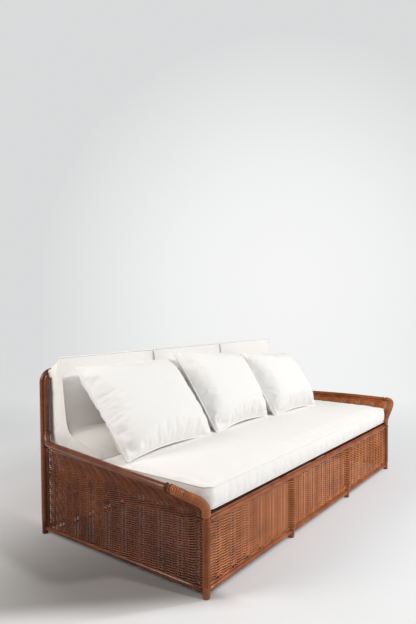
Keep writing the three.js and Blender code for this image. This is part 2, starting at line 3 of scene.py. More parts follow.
import math

import bpy
import numpy as np
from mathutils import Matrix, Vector


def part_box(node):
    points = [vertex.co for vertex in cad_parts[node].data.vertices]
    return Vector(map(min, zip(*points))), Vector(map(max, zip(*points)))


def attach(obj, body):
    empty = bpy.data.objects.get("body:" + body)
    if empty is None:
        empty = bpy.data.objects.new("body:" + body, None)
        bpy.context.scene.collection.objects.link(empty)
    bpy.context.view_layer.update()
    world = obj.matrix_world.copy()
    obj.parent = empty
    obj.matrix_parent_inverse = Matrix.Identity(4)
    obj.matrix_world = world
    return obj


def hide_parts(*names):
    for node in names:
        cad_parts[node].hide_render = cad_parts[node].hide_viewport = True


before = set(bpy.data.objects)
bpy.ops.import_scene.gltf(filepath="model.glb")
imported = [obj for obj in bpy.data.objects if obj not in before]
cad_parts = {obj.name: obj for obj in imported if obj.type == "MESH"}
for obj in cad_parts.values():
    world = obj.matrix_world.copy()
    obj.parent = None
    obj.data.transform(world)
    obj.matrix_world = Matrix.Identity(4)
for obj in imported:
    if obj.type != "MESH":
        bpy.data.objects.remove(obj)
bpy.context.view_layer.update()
scene = bpy.context.scene

# Sizes of the frame, in metres
sofa_length = 2.1
bays = 3
bay_width = sofa_length / bays
frame_depth = 1.016
back_lean = 0.018
foot_height = 0.03
back_top = 0.827
gap = 0.0003
corner_post_radius = 0.016
mid_post_radius = 0.016
back_post_radius = 0.015
rail_radius = 0.011
strip_radius = 0.004
bearer_radius = 0.012
seat_rail_radius = 0.01
rod_radius = 0.009
brace_radius = 0.007
arm_rail_radius = 0.015
arm_bend_radius = 0.016
under_rail_radius = 0.009
stile_radius = 0.013
panel_half = 0.004
bottom_rail_height = 0.029
top_rail_height = 0.3
rod_top = 0.322
first_rod = 0.03
last_rod_clear = 0.05
brace_rear, brace_front = 0.106, 0.569

# The share of a rail's radius by which a woven panel starts away from the rail's middle
lap = 0.6

# The flare of the arms
arm_flare = 0.1585
flare_run = 1.05
flare_power = 1.56
arm_end_height = 0.475
arm_crown = 0.01
arm_crown_run = 0.49
arm_joint_setback = 0.054
arm_turn_radius = 0.045
arm_turn_top = 0.518
post_top = 0.312
flare_start_height = 0.31
flare_knee_height = 0.364
under_rail_offset = arm_rail_radius + 2 * gap + under_rail_radius
under_rail_front = 0.0664
under_rail_clear = 0.076
back_corner_radius = 0.052
back_turn_start = back_top - back_post_radius - back_corner_radius
back_rail_height = back_top - back_post_radius

# Cushions: a cover starts at a share of its full crown or thickness, and pressure fills it
cushion_floor = 0.3223
seat_low_seam = 0.338
seat_high_seam = 0.425
seat_half_width = sofa_length / 2 - 0.008
seat_depth = 0.642
seat_front_proud = 0.005
seat_corner = 0.045
seat_crown = 0.02
seat_cover_share = 0.8
seat_waist = 0.004
back_cushion_height = 0.5637
back_side_gap = 0.027
back_cushion_gap = 0.012
back_crown = 0.04
back_cover_share = 0.75
back_waist = 0.008
back_ripple = 0.0025
pillow_thickness = 0.195
pillow_cover_share = 0.93
pillow_seam = 0.005
left_bow, right_bow, low_bow, top_bow = 0.03, -0.02, 0.1, 0.02

post_low, post_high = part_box("left_front_post")
front_line = (post_low.y + post_high.y) / 2
left_line = -sofa_length / 2
both_sides = ((-1, "left"), (1, "right"))


def place(across, rearward, height):
    """A point from its distance across, behind the front posts and over the floor"""
    return Vector((across, front_line + rearward, height))


def side_place(side, outward, rearward, height):
    """The same, from the line of the left (-1) or right (1) posts outward"""
    return place(side * (sofa_length / 2 + outward), rearward, height)


def spread(start, end, steps):
    return [start + (end - start) * i / steps for i in range(steps + 1)]


# Camera
camera_turn = math.radians(-53.252)


def set_camera():
    data = bpy.data.cameras.new("camera")
    data.lens, data.sensor_width = 30.907, 36
    camera = bpy.data.objects.new("camera", data)
    camera.location = (-2.7172, -1.7674, 1.1374)
    camera.rotation_euler = (math.radians(89.518), 0, camera_turn)
    scene.collection.objects.link(camera)
    scene.camera = camera


# Node helpers
class Nodes:
    """Adds nodes to a tree and joins them up"""

    def __init__(self, tree):
        self.tree = tree

    def feed(self, socket, value):
        """Joins another socket to this one, or sets it"""
        if isinstance(value, bpy.types.NodeSocket):
            self.tree.links.new(value, socket)
        else:
            socket.default_value = value

    def add(self, kind, inputs=None, **settings):
        node = self.tree.nodes.new(kind)
        for key, value in settings.items():
            setattr(node, key, value)
        for key, value in (inputs or {}).items():
            self.feed(node.inputs[key], value)
        return node

    def math(self, operation, *values):
        node = self.add("ShaderNodeMath", dict(enumerate(values)), operation=operation)
        return node.outputs[0]

    def times(self, *values):
        result = values[0]
        for value in values[1:]:
            result = self.math("MULTIPLY", result, value)
        return result

    def scaled(self, value, by, plus):
        return self.math("MULTIPLY_ADD", value, by, plus)

    def vector_math(self, operation, a, b=(0, 0, 0), scale=None):
        inputs = {0: a, 1: b} if scale is None else {0: a, "Scale": scale}
        node = self.add("ShaderNodeVectorMath", inputs, operation=operation)
        return node.outputs["Value" if operation in ("LENGTH", "DOT_PRODUCT") else "Vector"]

    def object_place(self):
        return self.add("ShaderNodeTexCoord").outputs["Object"]

    def bump(self, height, shader):
        node = self.add("ShaderNodeBump", {"Height": height, "Strength": 0.25, "Distance": 0.0006})
        self.feed(shader["Normal"], node.outputs[0])

    def noise(self, where, scale, detail, **more):
        inputs = {"Vector": where, "Scale": scale, "Detail": detail, **more}
        return self.add("ShaderNodeTexNoise", inputs).outputs["Fac"]

    def ramp(self, factor, stops):
        node = self.add("ShaderNodeValToRGB", {"Fac": factor})
        elements = node.color_ramp.elements
        while len(elements) < len(stops):
            elements.new(0.5)
        for element, (position, colour) in zip(elements, stops):
            element.position = position
            element.color = (*colour, 1)
        return node.outputs["Color"]

    def mix_shaders(self, factor, first, second, output):
        node = self.add("ShaderNodeMixShader", {0: factor, 1: first, 2: second})
        self.feed(self.tree.nodes[output].inputs[0], node.outputs[0])

    def noted(self, geometry, name, value, kind="FLOAT"):
        return self.add("GeometryNodeStoreNamedAttribute", {"Geometry": geometry, "Name": name,
            "Value": value}, data_type=kind, domain="POINT").outputs[0]

    def recalled(self, name, kind="FLOAT"):
        node = self.add("GeometryNodeInputNamedAttribute", {"Name": name}, data_type=kind)
        return node.outputs["Attribute"]

    def toned(self, splines, number, seed):
        """Stores a random tone for each numbered strand"""
        random = self.add("FunctionNodeRandomValue", {"ID": number, "Seed": seed},
            data_type="FLOAT")
        return self.noted(splines, "tone", random.outputs[1])

    def strand(self, splines, radius, share=1.0):
        """Gives splines the skin of a strand"""
        profile = self.add("GeometryNodeCurvePrimitiveCircle", {"Resolution": 6, "Radius": radius})
        return self.add("GeometryNodeCurveToMesh", {"Curve": splines, "Scale": share,
            "Profile Curve": profile.outputs[0], "Fill Caps": True}).outputs[0]


def new_material(name, values):
    material = bpy.data.materials.new(name)
    material.use_nodes = True
    shader = material.node_tree.nodes["Principled BSDF"]
    for key, value in values.items():
        shader.inputs[key].default_value = value
    return material, Nodes(material.node_tree), shader.inputs


# Finishes
def pole_cane(name, dark, middle, light):
    """Stained cane: grain along the pole, blotches of stain, lacquer"""
    material, nodes, shader = new_material(name, {"Roughness": 0.38, "Coat Weight": 0.3,
        "Coat Roughness": 0.16, "Specular IOR Level": 0.3})
    uv = nodes.add("ShaderNodeUVMap", uv_map="pole").outputs["UV"]
    grain = nodes.add("ShaderNodeMapping", {"Vector": uv, "Scale": (900, 14, 1)}).outputs[0]
    streaks = nodes.noise(grain, 1, 4, Roughness=0.6)
    blotches = nodes.noise(nodes.object_place(), 16, 3)
    tone = nodes.scaled(blotches, 0.75, -0.12)
    tone = nodes.scaled(streaks, 0.5, tone)
    nodes.feed(shader["Base Color"], nodes.ramp(tone, [(0.2, dark), (0.5, middle), (0.8, light)]))
    nodes.feed(shader["Roughness"], nodes.scaled(streaks, 0.25, 0.26))
    nodes.bump(streaks, shader)
    return material


# Painted shade on the strands, near black where they dip behind the spokes, up to none on the sides
# that stand proud
painted_recess_shade = [(0.0, (0.02, 0.015, 0.012)), (0.36, (0.05, 0.038, 0.034)),
    (0.55, (0.60, 0.58, 0.56)), (0.8, (1, 1, 1))]


def strand_cane(name, dark, middle, light, spread_of_tone=0.12, depth=1.0):
    """Thin woven strands: each its own tone, with painted shade where they dip behind the spokes"""
    material, nodes, shader = new_material(name, {"Roughness": 0.36, "Coat Weight": 0.08,
        "Coat Roughness": 0.3, "Specular IOR Level": 0.3})
    tone = nodes.add("ShaderNodeAttribute", attribute_name="tone").outputs["Fac"]
    proud = nodes.add("ShaderNodeAttribute", attribute_name="proud").outputs["Fac"]
    coordinates = nodes.object_place()
    mixed = nodes.scaled(nodes.noise(coordinates, 9, 4), 0.6, 0.05)
    mixed = nodes.scaled(nodes.noise(coordinates, 160, 2), 0.25, mixed)
    mixed = nodes.scaled(nodes.math("SUBTRACT", tone, 0.5), spread_of_tone, mixed)
    colour = nodes.ramp(mixed, [(0.25, dark), (0.5, middle), (0.8, light)])
    # depth sets how strongly the painted recess shade darkens the colour
    recess_shaded = nodes.add("ShaderNodeMix", {"Factor": depth}, data_type="RGBA",
        blend_type="MULTIPLY")
    nodes.feed(recess_shaded.inputs[6], colour)
    nodes.feed(recess_shaded.inputs[7], nodes.ramp(proud, painted_recess_shade))
    nodes.feed(shader["Base Color"], recess_shaded.outputs[2])
    return material


def woven_cloth(name, tint, thread=0.0009):
    """Upholstery cloth: fine threads, slubs, soft sheen"""
    material, nodes, shader = new_material(name, {"Roughness": 0.92, "Sheen Weight": 0.15,
        "Sheen Roughness": 0.5, "Specular IOR Level": 0.2})
    uv = nodes.add("ShaderNodeUVMap", uv_map="cloth").outputs["UV"]
    lines = {"Vector": uv, "Scale": 0.5 / (math.pi * thread), "Distortion": 1.2, "Detail": 1,
        "Detail Scale": 3}
    warp, weft = (nodes.add("ShaderNodeTexWave", lines, bands_direction=way).outputs["Fac"]
        for way in "XY")
    threads = nodes.math("MAXIMUM", warp, weft)
    coordinates = nodes.object_place()
    shade = nodes.scaled(nodes.noise(coordinates, 7, 3), 0.5, 0.1)
    shade = nodes.scaled(threads, 0.25, shade)
    darker = tuple(c * 0.95 for c in tint)
    nodes.feed(shader["Base Color"], nodes.ramp(shade, [(0.1, darker), (0.6, tint)]))
    nodes.bump(nodes.scaled(nodes.noise(coordinates, 220, 2), 0.5, threads), shader)
    return material


dark_cane = pole_cane("dark_cane", (0.10, 0.020, 0.004), (0.29, 0.074, 0.016),
    (0.47, 0.145, 0.036))
# A darker copy of dark_cane, painted shade: on the left side's poles and on the front seat rod
painted_shade_cane = pole_cane("painted_shade_cane", (0.045, 0.010, 0.003), (0.13, 0.034, 0.010),
    (0.23, 0.072, 0.025))
light_cane = pole_cane("light_cane", (0.38, 0.17, 0.07), (0.56, 0.28, 0.12), (0.75, 0.45, 0.22))
weave_cane = strand_cane("weave_cane", (0.25, 0.066, 0.019), (0.70, 0.225, 0.066),
    (0.92, 0.42, 0.17))
# The right side: the woven cane a little darker, with a weaker painted recess shade
right_cane = strand_cane("right_side_cane", (0.25, 0.066, 0.019), (0.60, 0.19, 0.058),
    (0.80, 0.34, 0.13), depth=0.6)
# A much darker copy of the woven cane: painted shade for the left side's weave
shaded_left_cane = strand_cane("shaded_left_cane", (0.07, 0.015, 0.004), (0.21, 0.054, 0.014),
    (0.38, 0.12, 0.036))
winding_cane = strand_cane("winding_cane", (0.20, 0.055, 0.017), (0.40, 0.135, 0.042),
    (0.60, 0.25, 0.095))
post_cane = strand_cane("post_cane", (0.11, 0.026, 0.008), (0.27, 0.076, 0.022),
    (0.44, 0.145, 0.05), 0.1)
binding_cane = strand_cane("binding_cane", (0.025, 0.007, 0.003), (0.07, 0.018, 0.007),
    (0.15, 0.045, 0.018))
cushion_cloth = woven_cloth("cushion_cloth", (0.88, 0.865, 0.84))
pillow_cloth = woven_cloth("pillow_cloth", (0.87, 0.862, 0.85), 0.0007)
# Near black lining for the seat cushion's underside: painted shade, so that the gap under the
# cushion looks black
painted_shade_lining = woven_cloth("painted_shade_lining", (0.03, 0.026, 0.022), 0.0012)


def new_piece(name, verts, faces, material, uvs=None, uv_name="pole"):
    mesh = bpy.data.meshes.new(name)
    mesh.from_pydata([tuple(v) for v in verts], [], faces)
    if uvs is not None:
        layer = mesh.uv_layers.new(name=uv_name)
        layer.data.foreach_set("uv", np.array(uvs, np.float32).ravel())
    mesh.shade_smooth()
    mesh.materials.append(material)
    mesh.validate()
    piece = bpy.data.objects.new(name, mesh)
    scene.collection.objects.link(piece)
    return piece


def declare(piece, body, slot, node=None):
    """Says what a piece rides on, and hides the node that it stands for; the slot is not used"""
    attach(piece, body)
    if node:
        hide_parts(node)


# Round poles
def frames_along(points, closed=False):
    """The direction along a path and two across it at each point, without twist"""
    last = len(points) - 1
    result = []
    for i in range(last + 1):
        before = points[i - 1 if closed else max(i - 1, 0)]
        after = points[(i + 1) % (last + 1) if closed else min(i + 1, last)]
        tangent = (after - before).normalized()
        if i == 0:
            across = tangent.orthogonal().normalized()
        across = (across - tangent * across.dot(tangent)).normalized()
        result.append((tangent, across, tangent.cross(across)))
    return result


def tube(points, radii, sides, closed=False):
    """A round skin along a path or loop: its points, faces and UV places, and the path's length"""
    angles = [2 * math.pi * k / sides for k in range(sides)]
    directions = frames_along(points, closed)
    verts = [point + radius * (math.cos(angle) * across + math.sin(angle) * up)
        for point, radius, (_, across, up) in zip(points, radii, directions) for angle in angles]
    turn = 0
    if closed:
        tangent, across = directions[0][0], directions[-1][1]
        across = (across - tangent * across.dot(tangent)).normalized()
        up, first = tangent.cross(across), verts[0] - points[0]
        turn = max(range(sides), key=lambda k: first.dot(
            math.cos(angles[k]) * across + math.sin(angles[k]) * up))
    faces, uvs = [], []
    far, wide = 0.0, 2 * math.pi * max(radii) / sides
    for i in range(len(points) - (not closed)):
        following = (i + 1) % len(points)
        near, far = far, far + (points[following] - points[i]).length
        here, there = i * sides, following * sides
        shift = 0 if following else turn
        for k in range(sides):
            faces.append((here + k, here + (k + 1) % sides, there + (k + 1 - shift) % sides,
                there + (k - shift) % sides))
            uvs += [(k * wide, near), ((k + 1) * wide, near), ((k + 1) * wide, far),
                (k * wide, far)]
    return verts, faces, uvs, far


def pole(node, points, radius, cane, slot="dark_cane", sides=20):
    """A lacquered pole in a node's place, with eased ends"""
    ease = min(radius * 0.25, 0.003)
    start, end = points[0], points[-1]
    ends = frames_along(points)
    points = [start, start + ends[0][0] * ease, *points[1:-1], end - ends[-1][0] * ease, end]
    radii = [radius - ease, *[radius] * (len(points) - 2), radius - ease]
    verts, faces, uvs, length = tube(points, radii, sides)
    last = len(verts) - sides
    faces += [tuple(range(sides - 1, -1, -1)), tuple(range(last, last + sides))]
    for distance in (0.0, length):
        for k in range(sides):
            angle = 2 * math.pi * k / sides
            uvs.append((radius * math.cos(angle), distance + radius * math.sin(angle)))
    declare(new_piece(f"{node}_pole", verts, faces, cane, uvs), "frame", slot, node)


def straight(start, end, steps=6):
    return [Vector(start).lerp(Vector(end), i / steps) for i in range(steps + 1)]


def smooth_path(stops, steps):
    """Evenly spaced points on a centripetal curve through the stops"""
    padded = [2 * stops[0] - stops[1], *stops, 2 * stops[-1] - stops[-2]]
    fine_steps = 20
    fine = []
    for i in range(1, len(padded) - 2):
        p = padded[i - 1:i + 3]
        t = [0.0]
        for a, b in zip(p, p[1:]):
            t.append(t[-1] + max((b - a).length, 1e-9) ** 0.5)
        for k in range(fine_steps):
            u = t[1] + (t[2] - t[1]) * k / fine_steps
            a1, a2, a3 = (p[n].lerp(p[n + 1], (u - t[n]) / (t[n + 1] - t[n])) for n in range(3))
            b1 = a1.lerp(a2, (u - t[0]) / (t[2] - t[0]))
            b2 = a2.lerp(a3, (u - t[1]) / (t[3] - t[1]))
            fine.append(b1.lerp(b2, (u - t[1]) / (t[2] - t[1])))
    fine.append(stops[-1])
    lengths = [0.0]
    for a, b in zip(fine, fine[1:]):
        lengths.append(lengths[-1] + (b - a).length)
    result, at = [], 0
    for i in range(steps + 1):
        want = lengths[-1] * i / steps
        while at < len(fine) - 2 and lengths[at + 1] < want:
            at += 1
        share = (want - lengths[at]) / max(lengths[at + 1] - lengths[at], 1e-9)
        result.append(fine[at].lerp(fine[at + 1], min(max(share, 0), 1)))
    return result


def back_line(height):
    """How far behind the front posts the back posts stand at a height"""
    climb = (height - foot_height) / (back_turn_start - foot_height)
    return frame_depth + back_lean * min(max(climb, 0), 1)


def arm_line(setback):
    """How far out the arm's rail lies and how high, at a distance behind the front posts"""
    outward = arm_flare * (1 - (max(setback, 0) / flare_run) ** flare_power)
    bow = 1 - ((setback - arm_crown_run) / arm_crown_run) ** 2
    return outward, arm_end_height - arm_rail_radius + arm_crown * bow


def arm_spot(side, setback):
    outward, height = arm_line(setback)
    return side_place(side, outward, setback, height)


def side_surface(setback, share):
    """The woven side: upright from the base, then bending outward up to the arm"""
    outward, height = arm_line(setback)
    turn = 1 - share
    rise = (turn * turn * flare_start_height + 2 * turn * share * flare_knee_height
        + share * share * height)
    return share * share * outward, rise


def under_share(setback):
    """The share of the flare at which the rail under the arm lies"""
    outward, height = arm_line(setback)
    return 1 - under_rail_offset / (2 * math.hypot(outward, height - flare_knee_height))


# The arm bend's stops, as shares of its way outward, back and up
arm_bend_shares = [
    (0, 0, 0), (0.02, 0, 0.25), (0.11, -0.04, 0.38), (0.25, -0.06, 0.5), (0.42, -0.06, 0.615),
    (0.61, -0.02, 0.725), (0.81, 0.06, 0.84), (0.925, 0.2, 0.925), (0.985, 0.46, 0.98),
    (1, 0.72, 1), (1, 0.86, 1), (1, 1, 1),
]
arm_rear = back_line(arm_turn_top) - back_post_radius - gap - arm_rail_radius
turn_steps = 10


def arm_bend_path(side, steps=40):
    start = post_top + gap
    outward, height = arm_line(arm_joint_setback)
    stops = [side_place(side, out * outward, back * (arm_joint_setback - gap),
        start + up * (height - start)) for out, back, up in arm_bend_shares]
    return smooth_path(stops, steps)


def arm_rail_path(side):
    turn_start = arm_rear - arm_turn_radius
    points = [arm_spot(side, s) for s in spread(arm_joint_setback, turn_start, 24)]
    low_out, low_height = arm_line(turn_start)
    for share in spread(0, 1, turn_steps)[1:]:
        angle = share * math.pi / 2
        points.append(side_place(side, low_out * (1 - share),
            turn_start + arm_turn_radius * math.sin(angle),
            low_height + arm_turn_radius * (1 - math.cos(angle))))
    return points + [side_place(side, 0, arm_rear, arm_turn_top)]


def under_rail_path(side):
    points = []
    for setback in spread(under_rail_front, arm_rear - under_rail_clear, 24):
        arm_out, arm_height = arm_line(setback)
        out, height = side_surface(setback, under_share(setback))
        stretch = under_rail_offset / math.hypot(arm_out - out, arm_height - height)
        points.append(side_place(side, arm_out + stretch * (out - arm_out), setback,
            arm_height + stretch * (height - arm_height)))
    return points


def back_post_path(side, forward=0.0, degrees=90, low=0.0):
    """A back post's line from a height up, and over towards the top rail"""
    points = [side_place(side, 0, back_line(h) - forward, h)
        for h in spread(low, back_turn_start, 12)]
    for share in spread(0, 1, turn_steps)[1:]:
        angle = math.radians(degrees * share)
        points.append(side_place(side, -back_corner_radius * (1 - math.cos(angle)),
            frame_depth + back_lean - forward,
            back_turn_start + back_corner_radius * math.sin(angle)))
    return points


post_reach = corner_post_radius + gap
winding_reach = post_reach + 2 * 0.002 + gap
strip_offset = rail_radius + gap + strip_radius
bearer_height = rod_top - 2 * rod_radius - gap - bearer_radius
seat_rail_height = rod_top - 2 * rod_radius - gap - seat_rail_radius
rod_height = rod_top - rod_radius
back_seat_rail_back = back_line(bearer_height) - back_post_radius - gap - rail_radius
deck_rear = back_seat_rail_back - rail_radius - gap


def make_side_poles(side, word, cane):
    """The poles of one side; cane is the material of its outer poles, the darker copy on the left
    for painted shade
    """
    seat_rail_line = -(panel_half + gap + seat_rail_radius)
    brace_line = -(panel_half + gap + brace_radius)
    brace_low = bottom_rail_height + rail_radius + brace_radius
    brace_high = seat_rail_height - seat_rail_radius - brace_radius
    stile_path = back_post_path(side, back_post_radius + gap + stile_radius, 38,
        arm_turn_top + gap)

    def line(outward, start, low, end, high, steps=6):
        return straight(side_place(side, outward, start, low),
            side_place(side, outward, end, high), steps)

    for part, path, radius, stain in (
        ("front_post", line(0, 0, 0, 0, post_top), corner_post_radius, dark_cane),
        ("arm_bend", arm_bend_path(side), arm_bend_radius, dark_cane),
        ("arm_rail", arm_rail_path(side), arm_rail_radius, cane),
        ("arm_underrail", under_rail_path(side), under_rail_radius, cane),
        ("back_post", back_post_path(side), back_post_radius, cane),
        ("back_stile", stile_path, stile_radius, cane),
        ("bottom_rail", line(0, post_reach, bottom_rail_height,
            frame_depth - back_post_radius - gap, bottom_rail_height, 12), rail_radius, cane),
        ("seat_rail", line(seat_rail_line, winding_reach, seat_rail_height, deck_rear,
            seat_rail_height), seat_rail_radius, dark_cane),
        ("side_brace", line(brace_line, frame_depth - brace_rear, brace_low,
            frame_depth - brace_front, brace_high), brace_radius, dark_cane),
    ):
        pole(f"{word}_{part}", path, radius, stain)


def cross_pole(node, rearward, height, radius, short, cane=dark_cane, **more):
    """A pole along the sofa, shorter than the post line by a little at each end"""
    start = place(left_line + short, rearward, height)
    end = place(-left_line - short, rearward, height)
    pole(node, straight(start, end, 30), radius, cane, **more)


def make_poles():
    # The left side's outer poles take the darker cane: painted shade
    for (side, word), cane in zip(both_sides, (painted_shade_cane, dark_cane)):
        make_side_poles(side, word, cane)
    for rail, height, short in (("top", top_rail_height, winding_reach),
            ("bottom", bottom_rail_height, post_reach)):
        cross_pole(f"front_{rail}_rail", 0, height, rail_radius, short)
        cross_pole(f"front_{rail}_strip", 0, height + strip_offset, strip_radius, post_reach,
            sides=12)
    cross_pole("back_bottom_rail", frame_depth, bottom_rail_height, rail_radius,
        back_post_radius + gap)
    cross_pole("back_top_rail", frame_depth + back_lean, back_rail_height, back_post_radius,
        back_corner_radius + gap)
    cross_pole("back_seat_rail", back_seat_rail_back, bearer_height, rail_radius,
        panel_half + gap)
    mid_lines = [left_line + bay * bay_width for bay in range(1, bays)]
    front_top = top_rail_height - rail_radius - gap
    back_heights = (0, foot_height, back_turn_start, back_rail_height - back_post_radius - gap)
    for number, across in enumerate(mid_lines, 1):
        pole(f"front_mid_post_{number}", straight(place(across, 0, 0),
            place(across, 0, front_top)), mid_post_radius, dark_cane)
        pole(f"back_mid_post_{number}", [place(across, back_line(h), h) for h in back_heights],
            back_post_radius, dark_cane)
    bearers = ((mid_lines[0], mid_post_radius), (0, rail_radius), (mid_lines[1], mid_post_radius))
    for number, (across, clear) in enumerate(bearers, 1):
        pole(f"seat_bearer_{number}", straight(place(across, clear + gap, bearer_height),
            place(across, deck_rear, bearer_height)), bearer_radius, dark_cane)
    # The front rod is the darker cane: painted shade, so that the gap under the seat cushion looks
    # black
    for i, rearward in enumerate(spread(first_rod, deck_rear - last_rod_clear, 6)):
        cross_pole(f"seat_rod_{i + 1}", rearward, rod_height, rod_radius, panel_half + gap,
            light_cane if i else painted_shade_cane, slot="light_cane")


# Geometry Nodes
def new_tree(name, inputs):
    """A tree with a geometry and named inputs: its nodes, its inputs and its way out"""
    tree = bpy.data.node_groups.new(name, "GeometryNodeTree")
    sockets = tree.interface
    sockets.new_socket("Geometry", in_out="INPUT", socket_type="NodeSocketGeometry")
    for label, kind, value in inputs:
        socket = sockets.new_socket(label, in_out="INPUT", socket_type=f"NodeSocket{kind}")
        if value is not None:
            socket.default_value = value
    sockets.new_socket("Geometry", in_out="OUTPUT", socket_type="NodeSocketGeometry")
    nodes = Nodes(tree)
    return nodes, nodes.add("NodeGroupInput").outputs, nodes.add("NodeGroupOutput").inputs[0]


def finish_tree(nodes, geometry, material, way_out):
    smooth = nodes.add("GeometryNodeSetShadeSmooth", {"Geometry": geometry}).outputs[0]
    real = nodes.add("GeometryNodeRealizeInstances", {"Geometry": smooth}).outputs[0]
    cane = nodes.add("GeometryNodeSetMaterial", {"Geometry": real, "Material": material})
    nodes.feed(way_out, cane.outputs[0])
    return nodes.tree


def run_tree(base, tree, values, name):
    """Runs a tree on an object and gives its result as a plain mesh piece"""
    modifier = base.modifiers.new("tree", "NODES")
    modifier.node_group = tree
    for item in tree.interface.items_tree:
        if item.in_out == "INPUT" and item.name in values:
            modifier[item.identifier] = values[item.name]
    shown = base.evaluated_get(bpy.context.evaluated_depsgraph_get())
    mesh = bpy.data.meshes.new_from_object(shown)
    mesh.name = name
    piece = bpy.data.objects.new(name, mesh)
    scene.collection.objects.link(piece)
    bpy.data.objects.remove(base)
    return piece


def weave_tree():
    """Weft strands before and behind upright spokes, laid on a surface by its UV map"""
    nodes, get, way_out = new_tree("cane_weave", [
        ("Rows", "Int", 60), ("Spokes", "Int", 13), ("Steps", "Int", 6),
        ("Strand Radius", "Float", 0.0028), ("Spoke Radius", "Float", 0.0036),
        ("Swing", "Float", 0.003), ("Swing Change", "Float", 0.25), ("Wander", "Float", 0.0006),
        ("First Strong", "Int", 0), ("Hole", "Float", 0.0), ("Thin At Start", "Float", 0.0),
        ("Thin At End", "Float", 0.0), ("Seed", "Int", 1), ("Material", "Material", None),
    ])
    math_of, times, scaled = nodes.math, nodes.times, nodes.scaled
    edge = 0.0006
    spoke_points = 25
    wave_fullness = 1.5
    end_hold = 30
    drift_across, drift_up = 0.45, 0.23
    hole_fade = -0.25
    thin_run = 7
    proud_middle, proud_reach = 0.56, 0.42

    def between(value, low, high):
        return math_of("MINIMUM", math_of("MAXIMUM", value, low), high)

    uv = nodes.recalled("surface", "FLOAT_VECTOR")
    spot_now = nodes.add("GeometryNodeInputPosition").outputs[0]
    facing_now = nodes.add("GeometryNodeInputNormal").outputs[0]

    def on_surface(u, v, offset, splines):
        where = nodes.add("ShaderNodeCombineXYZ", {"X": between(u, edge, 1 - edge),
            "Y": between(v, edge, 1 - edge)}).outputs[0]
        spot, facing = (nodes.add("GeometryNodeSampleUVSurface", {"Mesh": get["Geometry"],
            "Value": value, "UV Map": uv, "Sample UV": where}, data_type="FLOAT_VECTOR")
            .outputs["Value"] for value in (spot_now, facing_now))
        splines = nodes.noted(splines, "outward", facing, "FLOAT_VECTOR")
        target = nodes.vector_math("ADD", spot, nodes.vector_math("SCALE", facing, scale=offset))
        return nodes.add("GeometryNodeSetPosition", {"Geometry": splines, "Position": target}
            ).outputs[0]

    def rows_of(end, points, count, axis):
        """Copies of a line from the origin, spread evenly over 0 to 1 along an axis"""
        line = nodes.add("GeometryNodeCurvePrimitiveLine", {"Start": (0, 0, 0), "End": end})
        line = nodes.add("GeometryNodeResampleCurve", {"Curve": line.outputs[0], "Count": points})
        offset = nodes.add("ShaderNodeCombineXYZ", {axis: math_of("DIVIDE", 1, count)})
        spots = nodes.add("GeometryNodeMeshLine", {"Count": count, "Offset": offset.outputs[0]})
        copies = nodes.add("GeometryNodeInstanceOnPoints", {"Points": spots.outputs[0],
            "Instance": line.outputs[0]}).outputs[0]
        return nodes.add("GeometryNodeRealizeInstances", {"Geometry": copies}).outputs[0]

    position = nodes.add("ShaderNodeSeparateXYZ", {"Vector": spot_now})
    u, v = position.outputs["X"], position.outputs["Y"]
    rows, spokes = get["Rows"], get["Spokes"]

    # Weft: every row swings the other way, and every second column more strongly
    points = scaled(spokes, get["Steps"], 1)
    weft = rows_of((1, 0, 0), points, rows, "Y")
    row = math_of("FLOOR", scaled(v, rows, 0.5))
    weft = nodes.toned(weft, row, get["Seed"])
    at_column = times(u, spokes)
    phase = scaled(at_column, math.pi, -math.pi / 2)
    turned = scaled(row, math.pi, phase)
    column = math_of("ADD", math_of("FLOOR", at_column), get["First Strong"])
    beat = math_of("COSINE", times(column, math.pi))
    reach = times(get["Swing"], scaled(beat, get["Swing Change"], 1))
    wave = times(math_of("COSINE", turned), wave_fullness)
    wave = math_of("MAXIMUM", math_of("MINIMUM", wave, 1), -1)
    swing = times(wave, reach)
    from_ends = math_of("MINIMUM", u, math_of("SUBTRACT", 1, u))
    held = math_of("MINIMUM", times(from_ends, end_hold), 1)
    weft = nodes.noted(weft, "side", times(wave, held, scaled(beat, 0.15, 0.85)))

    # Each row wanders, and the lowest ones rise at the strong spokes and leave holes there
    drift = nodes.add("ShaderNodeCombineXYZ", {"X": times(u, times(spokes, drift_across)),
        "Y": times(row, drift_up), "Z": get["Seed"]}).outputs[0]
    wander = times(math_of("SUBTRACT", nodes.noise(drift, 1, 2), 0.5), get["Wander"])
    step = math_of("DIVIDE", 1, rows)
    height = scaled(math_of("ADD", row, 0.5), step, wander)
    at_spoke = math_of("POWER", math_of("ABSOLUTE", wave), 4)
    low_row = math_of("MAXIMUM", scaled(row, hole_fade, 1), 0)
    lift = times(at_spoke, low_row, math_of("MAXIMUM", beat, 0))
    height = scaled(lift, get["Hole"], height)
    from_start = math_of("MAXIMUM", scaled(u, -thin_run, 1), 0)
    from_end = math_of("MAXIMUM", scaled(u, thin_run, 1 - thin_run), 0)
    thinning = math_of("ADD", times(from_start, get["Thin At Start"]),
        times(from_end, get["Thin At End"]))
    weft = nodes.noted(weft, "thickness", math_of("SUBTRACT", 1, thinning))
    weft = on_surface(u, height, swing, weft)
    weft = nodes.strand(weft, get["Strand Radius"], nodes.recalled("thickness"))
    # How far a strand stands proud sets its painted recess shade
    turned_out = nodes.vector_math("DOT_PRODUCT", facing_now,
        nodes.recalled("outward", "FLOAT_VECTOR"))
    exposure = times(turned_out, 1.3, nodes.recalled("side"))
    weft = nodes.noted(weft, "proud", scaled(exposure, proud_reach, proud_middle))

    # Spokes
    uprights = rows_of((0, 1, 0), spoke_points, spokes, "X")
    number = math_of("FLOOR", scaled(u, spokes, 0.5))
